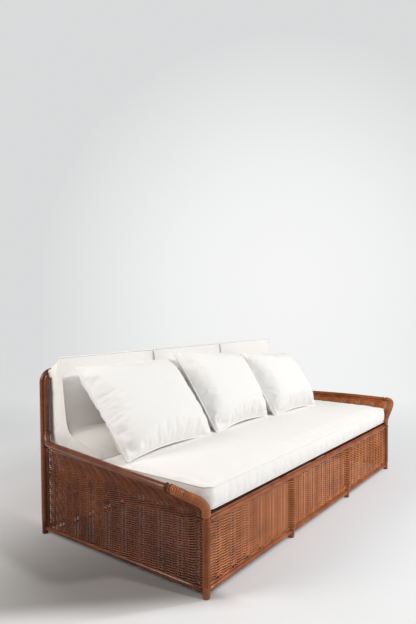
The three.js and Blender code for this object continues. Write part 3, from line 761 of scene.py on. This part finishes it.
    # Spokes count as sunk, so the painted recess shade keeps them dark
    uprights = nodes.noted(nodes.toned(uprights, number, get["Seed"]), "proud", 0.2)
    middle = times(math_of("ADD", number, 0.5), math_of("DIVIDE", 1, spokes))
    uprights = nodes.strand(on_surface(middle, v, 0.0, uprights), get["Spoke Radius"])

    joined = nodes.add("GeometryNodeJoinGeometry")
    for part in (uprights, weft):
        nodes.feed(joined.inputs[0], part)
    cleaned = joined.outputs[0]
    for name in ("outward", "side", "thickness"):
        cleaned = nodes.add("GeometryNodeRemoveAttribute", {"Geometry": cleaned,
            "Name": name}).outputs[0]
    return finish_tree(nodes, cleaned, get["Material"], way_out)


def winding_tree():
    """One strand wound round a path, turn beside turn"""
    nodes, get, way_out = new_tree("cane_winding", [
        ("Radius", "Float", 0.017), ("Pitch", "Float", 0.004), ("Strand Radius", "Float", 0.0015),
        ("Steps", "Int", 14), ("Material", "Material", None),
    ])
    path = nodes.add("GeometryNodeMeshToCurve", {"Mesh": get["Geometry"]}).outputs[0]
    length = nodes.add("GeometryNodeCurveLength", {"Curve": path}).outputs[0]
    turns = nodes.math("FLOOR", nodes.math("DIVIDE", length, get["Pitch"]))
    points = nodes.scaled(turns, get["Steps"], 1)
    path = nodes.add("GeometryNodeResampleCurve", {"Curve": path, "Count": points}).outputs[0]
    index = nodes.add("GeometryNodeInputIndex").outputs[0]
    turned = nodes.math("DIVIDE", index, get["Steps"])
    angle = nodes.times(turned, 2 * math.pi)
    along = nodes.add("GeometryNodeInputTangent").outputs[0]
    across = nodes.add("GeometryNodeInputNormal").outputs[0]
    upward = nodes.vector_math("CROSS_PRODUCT", along, across)
    reach = nodes.vector_math("ADD",
        nodes.vector_math("SCALE", across, scale=nodes.math("COSINE", angle)),
        nodes.vector_math("SCALE", upward, scale=nodes.math("SINE", angle)))
    offset = nodes.vector_math("SCALE", reach, scale=get["Radius"])
    path = nodes.toned(path, nodes.math("FLOOR", turned), 3)
    path = nodes.noted(path, "proud", 1.0)
    coil = nodes.add("GeometryNodeSetPosition", {"Geometry": path, "Offset": offset}).outputs[0]
    return finish_tree(nodes, nodes.strand(coil, get["Strand Radius"]), get["Material"], way_out)


# Woven panels
def surface_grid(columns, rows, spot):
    """A mesh over shares 0 to 1 each way, whose UV map holds those shares"""
    verts = [spot(i / columns, j / rows) for j in range(rows + 1) for i in range(columns + 1)]
    faces, uvs = [], []
    for j in range(rows):
        for i in range(columns):
            a = j * (columns + 1) + i
            faces.append((a, a + 1, a + columns + 2, a + columns + 1))
            uvs += [((i + x) / columns, (j + y) / rows)
                for x, y in ((0, 0), (1, 0), (1, 1), (0, 1))]
    return new_piece("surface", verts, faces, weave_cane, uvs, "surface")


def woven(name, tree, surface, rows, spokes, seed, node, cane=weave_cane, **sizes):
    values = {"Rows": rows, "Spokes": spokes, "Seed": seed, "Material": cane,
        **{key.replace("_", " ").title(): value for key, value in sizes.items()}}
    declare(run_tree(surface, tree, values, name), "frame", "weave", node)


def front_surface(bay):
    """The front of a bay: flat, and rounded over the posts at its ends"""
    low = bottom_rail_height + strip_offset + strip_radius
    high = top_rail_height - rail_radius
    behind = 0.0015
    reach = mid_post_radius + 0.004

    def spot(u, v):
        across = left_line + (bay + u) * bay_width
        bulge = 0.0
        for post in range(1, bays):
            near = abs(across - left_line - post * bay_width)
            if near < reach:
                bulge = max(bulge, math.sqrt(reach * reach - near * near))
        return place(across, behind - bulge if bulge > 0.002 else behind, low + v * (high - low))

    return surface_grid(70, 6, spot)


def side_panel_surface(side):
    """A side's woven surface, with its rows evenly spaced from base to arm"""
    low = bottom_rail_height + rail_radius * lap
    flare_steps = 10
    arm_start, arm_run = 0.055, 0.02

    def spot(u, v):
        setback = (u if side > 0 else 1 - u) * frame_depth
        near = min(max((setback - arm_start) / arm_run, 0), 1)
        top = 1 - (1 - under_share(max(setback, under_rail_front))) * near
        flare = [side_surface(setback, top * i / flare_steps) for i in range(flare_steps + 1)]
        bent = [flare[0][0] * 0.5 + flare[1][0] * 0.25, flare[0][1]]
        stops = [(0.0, low), (0.0, flare[0][1] - 0.03), bent] + flare[1:]
        lengths = [math.dist(a, b) for a, b in zip(stops, stops[1:])]
        left = v * sum(lengths)
        for (start, end), length in zip(zip(stops, stops[1:]), lengths):
            if left <= length:
                break
            left -= length
        share = min(left / length, 1)
        return side_place(side, start[0] + share * (end[0] - start[0]), setback,
            start[1] + share * (end[1] - start[1]))

    return surface_grid(48, 60, spot)


def back_surface(bay):
    low = bottom_rail_height + rail_radius * lap
    high = back_rail_height - back_post_radius * lap

    def spot(u, v):
        height = low + v * (high - low)
        return place(left_line + (bay + 1 - u) * bay_width, back_line(height) + 0.001, height)

    return surface_grid(8, 30, spot)


def make_weave():
    tree = weave_tree()
    front_rows, back_rows, bay_spokes, side_spokes = 44, 140, 13, 19
    corner_thinning = 0.6
    for bay in range(bays):
        woven(f"front_weave_{bay + 1}", tree, front_surface(bay), front_rows, bay_spokes,
            2 * bay + 1, f"front_panel_{bay + 1}", first_strong=bay + 1, hole=0.035)
        woven(f"back_weave_{bay + 1}", tree, back_surface(bay), back_rows, bay_spokes,
            2 * bay + 7, f"back_panel_{bay + 1}", steps=5, first_strong=bay,
            thin_at_end=corner_thinning if bay == 0 else 0.0,
            thin_at_start=corner_thinning if bay == bays - 1 else 0.0)
    # The left side's weave takes the darker cane: painted shade
    for (side, word), rows, cane, swing, corner in zip(both_sides, (94, 98),
            (shaded_left_cane, right_cane), (0.0026, 0.0014), ("thin_at_start", "thin_at_end")):
        woven(f"{word}_side_weave", tree, side_panel_surface(side), rows, side_spokes, 20 + side,
            f"{word}_side_panel", cane, steps=5, swing=swing, **{corner: corner_thinning})


# Windings
def wound(name, tree, points, radius, pitch, strand, cane, slot, node):
    mesh = bpy.data.meshes.new("path")
    mesh.from_pydata([tuple(p) for p in points], [(i, i + 1) for i in range(len(points) - 1)], [])
    base = bpy.data.objects.new("path", mesh)
    scene.collection.objects.link(base)
    values = {"Radius": radius, "Pitch": pitch, "Strand Radius": strand, "Material": cane}
    declare(run_tree(base, tree, values, name), "frame", slot, node)


def make_windings():
    tree = winding_tree()
    for side, word in both_sides:
        def upright(low, high, steps):
            return straight(side_place(side, 0, 0, low), side_place(side, 0, 0, high), steps)

        low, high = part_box(f"{word}_post_binding")
        arm_joint = [arm_spot(side, setback) for setback in spread(0.030, 0.075, 8)]
        # Name, path, radius, pitch, strand radius, stain, slot and node
        for part, path, radius, pitch, strand, cane, slot, node in (
            ("post_winding", upright(0.046, 0.293, 20), corner_post_radius + 0.0004, 0.0035,
                0.0014, post_cane, "weave", None),
            ("bend_winding", arm_bend_path(side, 60)[2:-3], arm_bend_radius + 0.0004, 0.0064,
                0.0027, winding_cane, "light_cane", None),
            ("back_post_winding", back_post_path(side)[1:-8], back_post_radius + 0.0006, 0.008,
                0.0022, post_cane, "weave", None),
            ("post_binding_turns", upright(low.z, high.z, 8), corner_post_radius + 0.0016,
                0.0036, 0.0017, post_cane, "weave", f"{word}_post_binding"),
            ("arm_binding_turns", arm_joint, arm_bend_radius + 0.0016, 0.0155, 0.0024,
                binding_cane, "light_cane", f"{word}_arm_binding"),
        ):
            wound(f"{word}_{part}", tree, path, radius, pitch, strand, cane, slot, node)


# Cushions
def lattice(name, counts, bend, material, cloth_sizes):
    """The closed skin of a lattice, bent by a function; its UV map is in metres"""
    seen, verts = {}, []

    def corner(spot):
        if spot not in seen:
            seen[spot] = len(verts)
            verts.append(Vector(bend(*(n / count for n, count in zip(spot, counts)))))
        return seen[spot]

    faces, uvs = [], []

    def quad(corners, flat):
        faces.append(tuple(corner(c) for c in corners))
        uvs.extend(tuple(c[a] / counts[a] * cloth_sizes[a] for a in flat) for c in corners)

    nx, ny, nz = counts
    for i in range(nx):
        for j in range(ny):
            quad(((i, j, nz), (i + 1, j, nz), (i + 1, j + 1, nz), (i, j + 1, nz)), (0, 1))
            quad(((i, j, 0), (i, j + 1, 0), (i + 1, j + 1, 0), (i + 1, j, 0)), (0, 1))
        for k in range(nz):
            quad(((i, 0, k), (i + 1, 0, k), (i + 1, 0, k + 1), (i, 0, k + 1)), (0, 2))
            quad(((i, ny, k), (i, ny, k + 1), (i + 1, ny, k + 1), (i + 1, ny, k)), (0, 2))
    for j in range(ny):
        for k in range(nz):
            quad(((0, j, k), (0, j, k + 1), (0, j + 1, k + 1), (0, j + 1, k)), (1, 2))
            quad(((nx, j, k), (nx, j + 1, k), (nx, j + 1, k + 1), (nx, j, k + 1)), (1, 2))
    volume = 0.0
    for face in faces:
        a, b, c, d = (verts[i] for i in face)
        volume += a.dot(b.cross(c)) + a.dot(c.cross(d))
    if volume < 0:
        uvs = [uv for n in range(len(faces)) for uv in reversed(uvs[4 * n:4 * n + 4])]
        faces = [tuple(reversed(face)) for face in faces]
    return new_piece(name, verts, faces, material, uvs, "cloth"), seen


def puff(piece, pinned, cap, stretch=-0.02):
    """Fills the cloth with pressure while its seams hold, each point within cap of its place"""
    frames = 20
    group = piece.vertex_groups.new(name="seams")
    group.add(pinned, 1.0, "REPLACE")
    rest = np.array([v.co for v in piece.data.vertices])
    modifier = piece.modifiers.new("cloth", "CLOTH")
    settings = modifier.settings
    settings.quality = 4
    settings.mass = 0.3
    settings.tension_stiffness = settings.compression_stiffness = 15
    settings.shear_stiffness = 8
    settings.bending_stiffness = 0.4
    settings.use_pressure = True
    settings.uniform_pressure_force = 4.0
    settings.shrink_min = stretch
    settings.vertex_group_mass = "seams"
    settings.effector_weights.gravity = 0
    modifier.collision_settings.use_collision = False
    modifier.point_cache.frame_start, modifier.point_cache.frame_end = 1, frames
    for number in range(1, frames + 1):
        scene.frame_set(number)
    shown = piece.evaluated_get(bpy.context.evaluated_depsgraph_get())
    moved = np.array([v.co for v in shown.data.vertices])
    piece.modifiers.remove(modifier)
    scene.frame_set(1)
    shift = moved - rest
    length = np.linalg.norm(shift, axis=1, keepdims=True)
    shift *= np.minimum(1, cap / np.maximum(length, 1e-9))
    piece.data.vertices.foreach_set("co", (rest + shift).astype(np.float32).ravel())
    piece.vertex_groups.clear()
    piece.data.update()


def finish_padded(piece, node, slot):
    modifier = piece.modifiers.new("subdivision", "SUBSURF")
    modifier.levels = modifier.render_levels = 1
    declare(piece, node, slot, node)


def piping(name, loops, radius, cloth, body, slot):
    """Piping sewn along seams: one tube for each loop"""
    verts, faces, uvs = [], [], []
    for loop in loops:
        base = len(verts)
        spots, skin, places, _ = tube(loop, [radius] * len(loop), 8, closed=True)
        verts += spots
        faces += [tuple(base + n for n in face) for face in skin]
        uvs += places
    declare(new_piece(name, verts, faces, cloth, uvs, "cloth"), body, slot)


def round_corner(x, y, half_width, half_depth, corner):
    in_x = math.copysign(max(abs(x) - half_width + corner, 0), x)
    in_y = math.copysign(max(abs(y) - half_depth + corner, 0), y)
    reach = math.hypot(in_x, in_y)
    shrink = max(abs(in_x), abs(in_y)) / reach if reach > 0 else 1
    return x - in_x * (1 - shrink), y - in_y * (1 - shrink)


def crown_share(across, along):
    return (1 - across ** 4) * (1 - along ** 4)


def rim(width, height):
    """The steps round the edge of a grid, in order"""
    return ([(i, 0) for i in range(width)] + [(width, j) for j in range(height)]
        + [(i, height) for i in range(width, 0, -1)] + [(0, j) for j in range(height, 0, -1)])


def seam_loops(piece, seen, counts):
    """The points round the upper and the lower seam of a cushion"""
    nx, ny, nz = counts
    return [[piece.data.vertices[seen[(i, j, k)]].co.copy() for i, j in rim(nx, ny)]
        for k in (nz, 0)]


def sewn(seen, counts):
    """The points of a cushion that stay in place: its underside and its upper seam"""
    nx, ny, nz = counts
    return [n for (i, j, k), n in seen.items()
        if k == 0 or (k == nz and (i in (0, nx) or j in (0, ny)))]


# A crease near the seat cushion's front left corner: distances behind the posts and inward
seat_crease = ((0.0, 0.10, 0.22), (0.055, 0.062, 0.052))
seat_crease_middle, seat_crease_run = 0.12, 0.13
seat_crease_rear, seat_crease_inner = 0.34, 0.15
groove_depth, groove_width = 0.007, 0.013
ridge_height, ridge_width, ridge_offset = 0.005, 0.014, 0.028


def make_seat_cushion():
    half_depth = seat_depth / 2
    centre = half_depth - seat_front_proud
    counts = (182, 56, 8)

    def bend(a, b, c):
        x, y = (2 * a - 1) * seat_half_width, (2 * b - 1) * half_depth
        crown = crown_share(x / seat_half_width, y / half_depth)
        x, y = round_corner(x, y, seat_half_width, half_depth, seat_corner)
        pull = seat_waist * (1 - math.sin(math.pi * c))
        x *= 1 - pull / seat_half_width
        y = centre + y * (1 - pull / half_depth)
        z = seat_low_seam + c * (seat_high_seam - seat_low_seam)
        if c == 0:
            z -= (seat_low_seam - cushion_floor) * min(1, 2 * crown)
        if c == 1:
            z += seat_crown * crown * seat_cover_share
        return place(x, y, z)

    piece, seen = lattice("seat_cushion_cover", counts, bend, cushion_cloth, (2.08, 0.64, 0.087))
    # The underside is near black: painted shade in the gap under the cushion
    piece.data.materials.append(painted_shade_lining)
    underside = {n for (_, _, k), n in seen.items() if k == 0}
    for face in piece.data.polygons:
        if all(v in underside for v in face.vertices):
            face.material_index = 1
    puff(piece, sewn(seen, counts), 0.014)
    for (_, _, k), n in seen.items():
        spot = piece.data.vertices[n].co
        rearward = spot.y - front_line
        inward = spot.x - left_line
        if k == counts[2] and rearward < seat_crease_rear and inward < seat_crease_inner:
            beside = inward - np.interp(rearward, *seat_crease)
            strength = math.exp(-((rearward - seat_crease_middle) / seat_crease_run) ** 2)
            spot.z -= groove_depth * strength * math.exp(-(beside / groove_width) ** 2)
            beside += ridge_offset
            spot.z += ridge_height * strength * math.exp(-(beside / ridge_width) ** 2)
    top, low = seam_loops(piece, seen, counts)
    finish_padded(piece, "seat_cushion", "cushion_cloth")
    for name, loop, radius in (("piping", top, 0.0034), ("low_piping", low, 0.002)):
        piping(f"seat_cushion_{name}", [loop], radius, cushion_cloth, "seat_cushion",
            "cushion_cloth")


# The back cushions' front and rear seams, as shares of the depth behind the toe and of the height
back_front_shares = [(0.77, 1), (0.735, 0.8), (0.69, 0.55), (0.66, 0.42), (0.585, 0.335),
    (0.46, 0.302), (0.22, 0.258), (0, 0.19)]
back_rear_shares = [(1, 0.88), (1, 0.68), (0.99, 0.42), (0.97, 0.24), (0.9, 0.09), (0.78, 0.01),
    (0.4, 0), (0, 0)]
toe_front = seat_depth - seat_front_proud + 0.003
back_rest = frame_depth + back_lean - back_post_radius - gap
back_cushion_width = (sofa_length - 2 * back_side_gap - 2 * back_cushion_gap) / 3


def seam_curve(shares, steps):
    """A smooth curve through a seam's stops, as points behind the posts and over the floor"""
    stops = [Vector((toe_front + back * (back_rest - toe_front),
        cushion_floor + up * back_cushion_height)) for back, up in shares]
    last = len(stops) - 1
    points = []
    for n in range(steps + 1):
        t = n / steps * last
        i = min(int(t), last - 1)
        t -= i
        p = [stops[max(i - 1, 0)], stops[i], stops[i + 1], stops[min(i + 2, last)]]
        v0, v1 = (p[2] - p[0]) / 2, (p[3] - p[1]) / 2
        points.append((2 * p[1] - 2 * p[2] + v0 + v1) * t ** 3
            + (-3 * p[1] + 3 * p[2] - 2 * v0 - v1) * t ** 2 + v0 * t + p[1])
    return points


def make_back_cushion(number):
    left = left_line + back_side_gap + (number - 1) * (back_cushion_width + back_cushion_gap)
    half = back_cushion_width / 2
    counts = (64, 66, 12)
    front = seam_curve(back_front_shares, counts[1])
    rear = seam_curve(back_rear_shares, counts[1])
    for spot in rear:
        spot.y = max(spot.y, cushion_floor)
        spot.x = min(spot.x, back_line(spot.y) - back_post_radius - gap)

    def bend(a, b, c):
        across, along = 2 * a - 1, 2 * b - 1
        station = round(b * counts[1])
        start, end = rear[station], front[station]
        crown = back_crown * back_cover_share * crown_share(across, along) if c == 1 else 0
        pull = back_waist * (1 - along ** 2) * (1 - math.sin(math.pi * c))
        pull += back_ripple * math.sin(14 * c + 3 * b) * math.sin(math.pi * c) * abs(across) ** 9
        spot = start + c * (end - start) + crown * (end - start).normalized()
        return place(left + half + across * half - pull * across, spot.x, spot.y)

    name = f"back_cushion_{number}"
    piece, seen = lattice(f"{name}_cover", counts, bend, cushion_cloth,
        (back_cushion_width, 0.8, 0.2))
    puff(piece, sewn(seen, counts), 0.02, stretch=-0.004)
    loops = seam_loops(piece, seen, counts)
    finish_padded(piece, name, "cushion_cloth")
    piping(f"{name}_piping", loops, 0.0044, cushion_cloth, name, "cushion_cloth")


# Throw pillows: corners as shares of the sofa's length and depth, and of the height over the seat
pillow_corners = [
    ((0.0143, 0.4577, 0.0325), (0.319, 0.4577, 0.0325), (0.0143, 0.8071, 0.896),
        (0.3348, 0.8071, 0.88)),
    ((0.3362, 0.4478, 0.0325), (0.6071, 0.4675, 0.0456), (0.3629, 0.8071, 0.9696),
        (0.611, 0.6939, 0.8742)),
    ((0.6152, 0.4183, 0.05), (0.8714, 0.4035, 0.05), (0.62, 0.6841, 0.8894),
        (0.86, 0.6398, 0.82)),
]
pillow_rise = cushion_floor + back_cushion_height - seat_high_seam

# Creases from each pillow's left seam: height share, slope, reach and depth
pillow_creases = [
    [(0.12, 0.12, 0.30, 0.010), (-0.10, 0.05, 0.22, 0.012), (-0.27, 0.10, 0.30, 0.013),
        (-0.5, -0.1, 0.2, 0.010), (0.55, -0.15, 0.25, 0.007)],
    [(0.30, 0.10, 0.25, 0.009), (-0.05, 0.10, 0.3, 0.009), (-0.4, 0.05, 0.3, 0.010)],
    [(0.35, -0.05, 0.25, 0.007), (0.0, 0.1, 0.3, 0.007), (-0.35, 0.1, 0.3, 0.008)],
]
crease_depth = 1.9
crease_width = 0.045
crease_start = 0.06
back_crease_share = -0.3


def make_pillow(number):
    corners = [place(left_line + along * sofa_length, back * frame_depth,
        seat_high_seam + up * pillow_rise) for along, back, up in pillow_corners[number - 1]]
    frontward = (corners[1] - corners[0]).cross(corners[2] - corners[0]).normalized()
    counts = (66, 1, 66)

    def patch(u, v):
        low = corners[0].lerp(corners[1], (1 + u) / 2)
        high = corners[2].lerp(corners[3], (1 + u) / 2)
        return low, high, low.lerp(high, (1 + v) / 2)

    def bend(a, b, c):
        u, w, v = 2 * a - 1, 2 * b - 1, 2 * c - 1
        in_u = u * (1 - (left_bow if u < 0 else right_bow) * (1 - v * v))
        in_v = v * (1 - (low_bow if v < 0 else top_bow) * (1 - u * u))
        low, high, spot = patch(in_u, in_v)
        across = patch(1, in_v)[2] - patch(-1, in_v)[2]
        rearward = across.cross(high - low).normalized()
        swell = math.sqrt(max((1 - abs(u) ** 3) * (1 - abs(v) ** 3), 0))
        half = (pillow_seam + (pillow_thickness * pillow_cover_share - pillow_seam) * swell) / 2
        return spot - rearward * w * half

    name = f"throw_pillow_{number}"
    piece, seen = lattice(f"{name}_cover", counts, bend, pillow_cloth, (0.55, 0.01, 0.5))
    verts = piece.data.vertices
    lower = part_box(name)[0].z - min(v.co.z for v in verts)
    for v in verts:
        v.co.z += lower
    nx, _, nz = counts
    puff(piece, [n for (i, _, k), n in seen.items() if i in (0, nx) or k in (0, nz)], 0.016,
        stretch=-0.04)
    for (i, j, k), n in seen.items():
        v, away = 2 * k / nz - 1, 2 * i / nx
        fold = sum(crease_depth * depth * math.exp(-((v - at - slope * away) / crease_width) ** 2
            - away / reach) for at, slope, reach, depth in pillow_creases[number - 1])
        fold *= (1 - math.exp(-away / crease_start)) * (1 if j == 1 else back_crease_share)
        verts[n].co += frontward * fold
    loop = [(verts[seen[(i, 0, k)]].co + verts[seen[(i, 1, k)]].co) / 2 for i, k in rim(nx, nz)]
    finish_padded(piece, name, "pillow_cloth")
    piping(f"{name}_piping", [loop], 0.0044, pillow_cloth, name, "pillow_cloth")


# Floor, backdrop and light
paper_colour = (0.81, 0.825, 0.84)
# The colour of the painted shadow on the floor in front of the sofa's left side
shaded_paper = (0.285, 0.275, 0.27)
far_paper = (0.70, 0.705, 0.71)
view_direction = (0.8013, 0.5983, 0)


def make_stage():
    """Paper with a painted shadow in front of the left side, which glows behind the sofa for the
    camera
    """
    material, nodes, shader = new_material("studio_paper", {"Roughness": 0.9,
        "Specular IOR Level": 0.1})
    spot = nodes.object_place()

    def away_from(*point):
        return nodes.vector_math("SUBTRACT", spot, point)

    def eased(value, start, end, first=0, last=1, kind="SMOOTHSTEP"):
        return nodes.add("ShaderNodeMapRange", {"Value": value, "From Min": start,
            "From Max": end, "To Min": first, "To Max": last}, interpolation_type=kind).outputs[0]

    # Painted shadow: the paper darkens towards shaded_paper in front of the left side, fading with
    # distance
    inside = nodes.vector_math("DOT_PRODUCT", away_from(-1.12, -0.42, 0), (0.707, 0.707, 0))
    near = nodes.vector_math("LENGTH", away_from(-1.2, -0.15, 0))
    across = nodes.vector_math("DOT_PRODUCT", spot, (1, 0, 0))
    shade = nodes.times(eased(inside, -0.13, 0.05), eased(near, 0.1, 1.3, 1, 0),
        eased(across, -0.95, -1.04))
    nodes.feed(shader["Base Color"], nodes.ramp(shade, [(0, paper_colour), (1, shaded_paper)]))
    far = nodes.vector_math("LENGTH", away_from(3.5, 1.4, 1.5))
    glow = nodes.ramp(nodes.times(far, 0.25), [(0.05, (0.96, 0.96, 0.96)),
        (0.5, (0.87, 0.875, 0.875)), (0.95, far_paper)])
    light = nodes.add("ShaderNodeEmission", {"Color": glow}).outputs[0]
    behind = nodes.vector_math("DOT_PRODUCT", spot, view_direction)
    seen = nodes.times(eased(behind, -1.0, 3.3, kind="LINEAR"),
        nodes.add("ShaderNodeLightPath").outputs["Is Camera Ray"])
    surface = nodes.tree.nodes["Principled BSDF"].outputs[0]
    nodes.mix_shaders(seen, surface, light, "Material Output")

    floor_start, wall_line, wall_curve, wall_top, half_width = -9, 3.4, 1.2, 7, 11
    profile = [(floor_start, 0), (wall_line, 0)]
    for angle in spread(0, math.pi / 2, 12)[1:]:
        profile.append((wall_line + wall_curve * math.sin(angle),
            wall_curve * (1 - math.cos(angle))))
    profile.append((wall_line + wall_curve, wall_top))
    right, ahead = math.cos(camera_turn), math.sin(camera_turn)
    verts = [(side * right - forward * ahead, side * ahead + forward * right, height)
        for side in (-half_width, half_width) for forward, height in profile]
    count = len(profile)
    faces = [(i, count + i, count + i + 1, i + 1) for i in range(count - 1)]
    new_piece("studio_floor", verts, faces, material)


def area_light(name, location, target, size, power, colour=(1, 1, 1)):
    data = bpy.data.lights.new(name, "AREA")
    data.shape = "DISK"
    data.size = size
    data.energy = power
    data.color = colour
    lamp = bpy.data.objects.new(name, data)
    lamp.location = location
    lamp.visible_camera = False
    lamp.rotation_euler = (Vector(target) - Vector(location)).to_track_quat("-Z", "Y").to_euler()
    scene.collection.objects.link(lamp)


def make_light():
    centre = (0, 0, 0.4)
    # Azimuth, elevation, distance, size and power of the lamps in front
    for name, azimuth, elevation, distance, size, power in (("front_key", -3, 36, 6, 0.5, 140),
            ("right_key", 42, 36, 6, 0.6, 108), ("high_softbox", 15, 62, 5, 1.6, 40)):
        a, e = math.radians(azimuth), math.radians(elevation)
        location = (centre[0] + distance * math.sin(a) * math.cos(e),
            centre[1] - distance * math.cos(a) * math.cos(e), centre[2] + distance * math.sin(e))
        area_light(name, location, centre, size, power)
    area_light("left_fill", (-3.4, 1.5, 2.3), (-1, 0.3, 0.6), 1.8, 78, (1, 0.95, 0.89))
    world = bpy.data.worlds.new("studio")
    world.use_nodes = True
    nodes = Nodes(world.node_tree)
    background = nodes.tree.nodes["Background"]
    background.inputs["Color"].default_value = (1, 0.96, 0.92, 1)
    background.inputs["Strength"].default_value = 0.2
    pale = nodes.add("ShaderNodeBackground", {"Color": (*far_paper, 1)})
    nodes.mix_shaders(nodes.add("ShaderNodeLightPath").outputs["Is Camera Ray"],
        background.outputs[0], pale.outputs[0], "World Output")
    scene.world = world
    scene.view_settings.view_transform = "Standard"


set_camera()
make_stage()
make_light()
make_poles()
make_weave()
make_windings()
make_seat_cushion()
for number in (1, 2, 3):
    make_back_cushion(number)
    make_pillow(number)

bpy.context.view_layer.update()
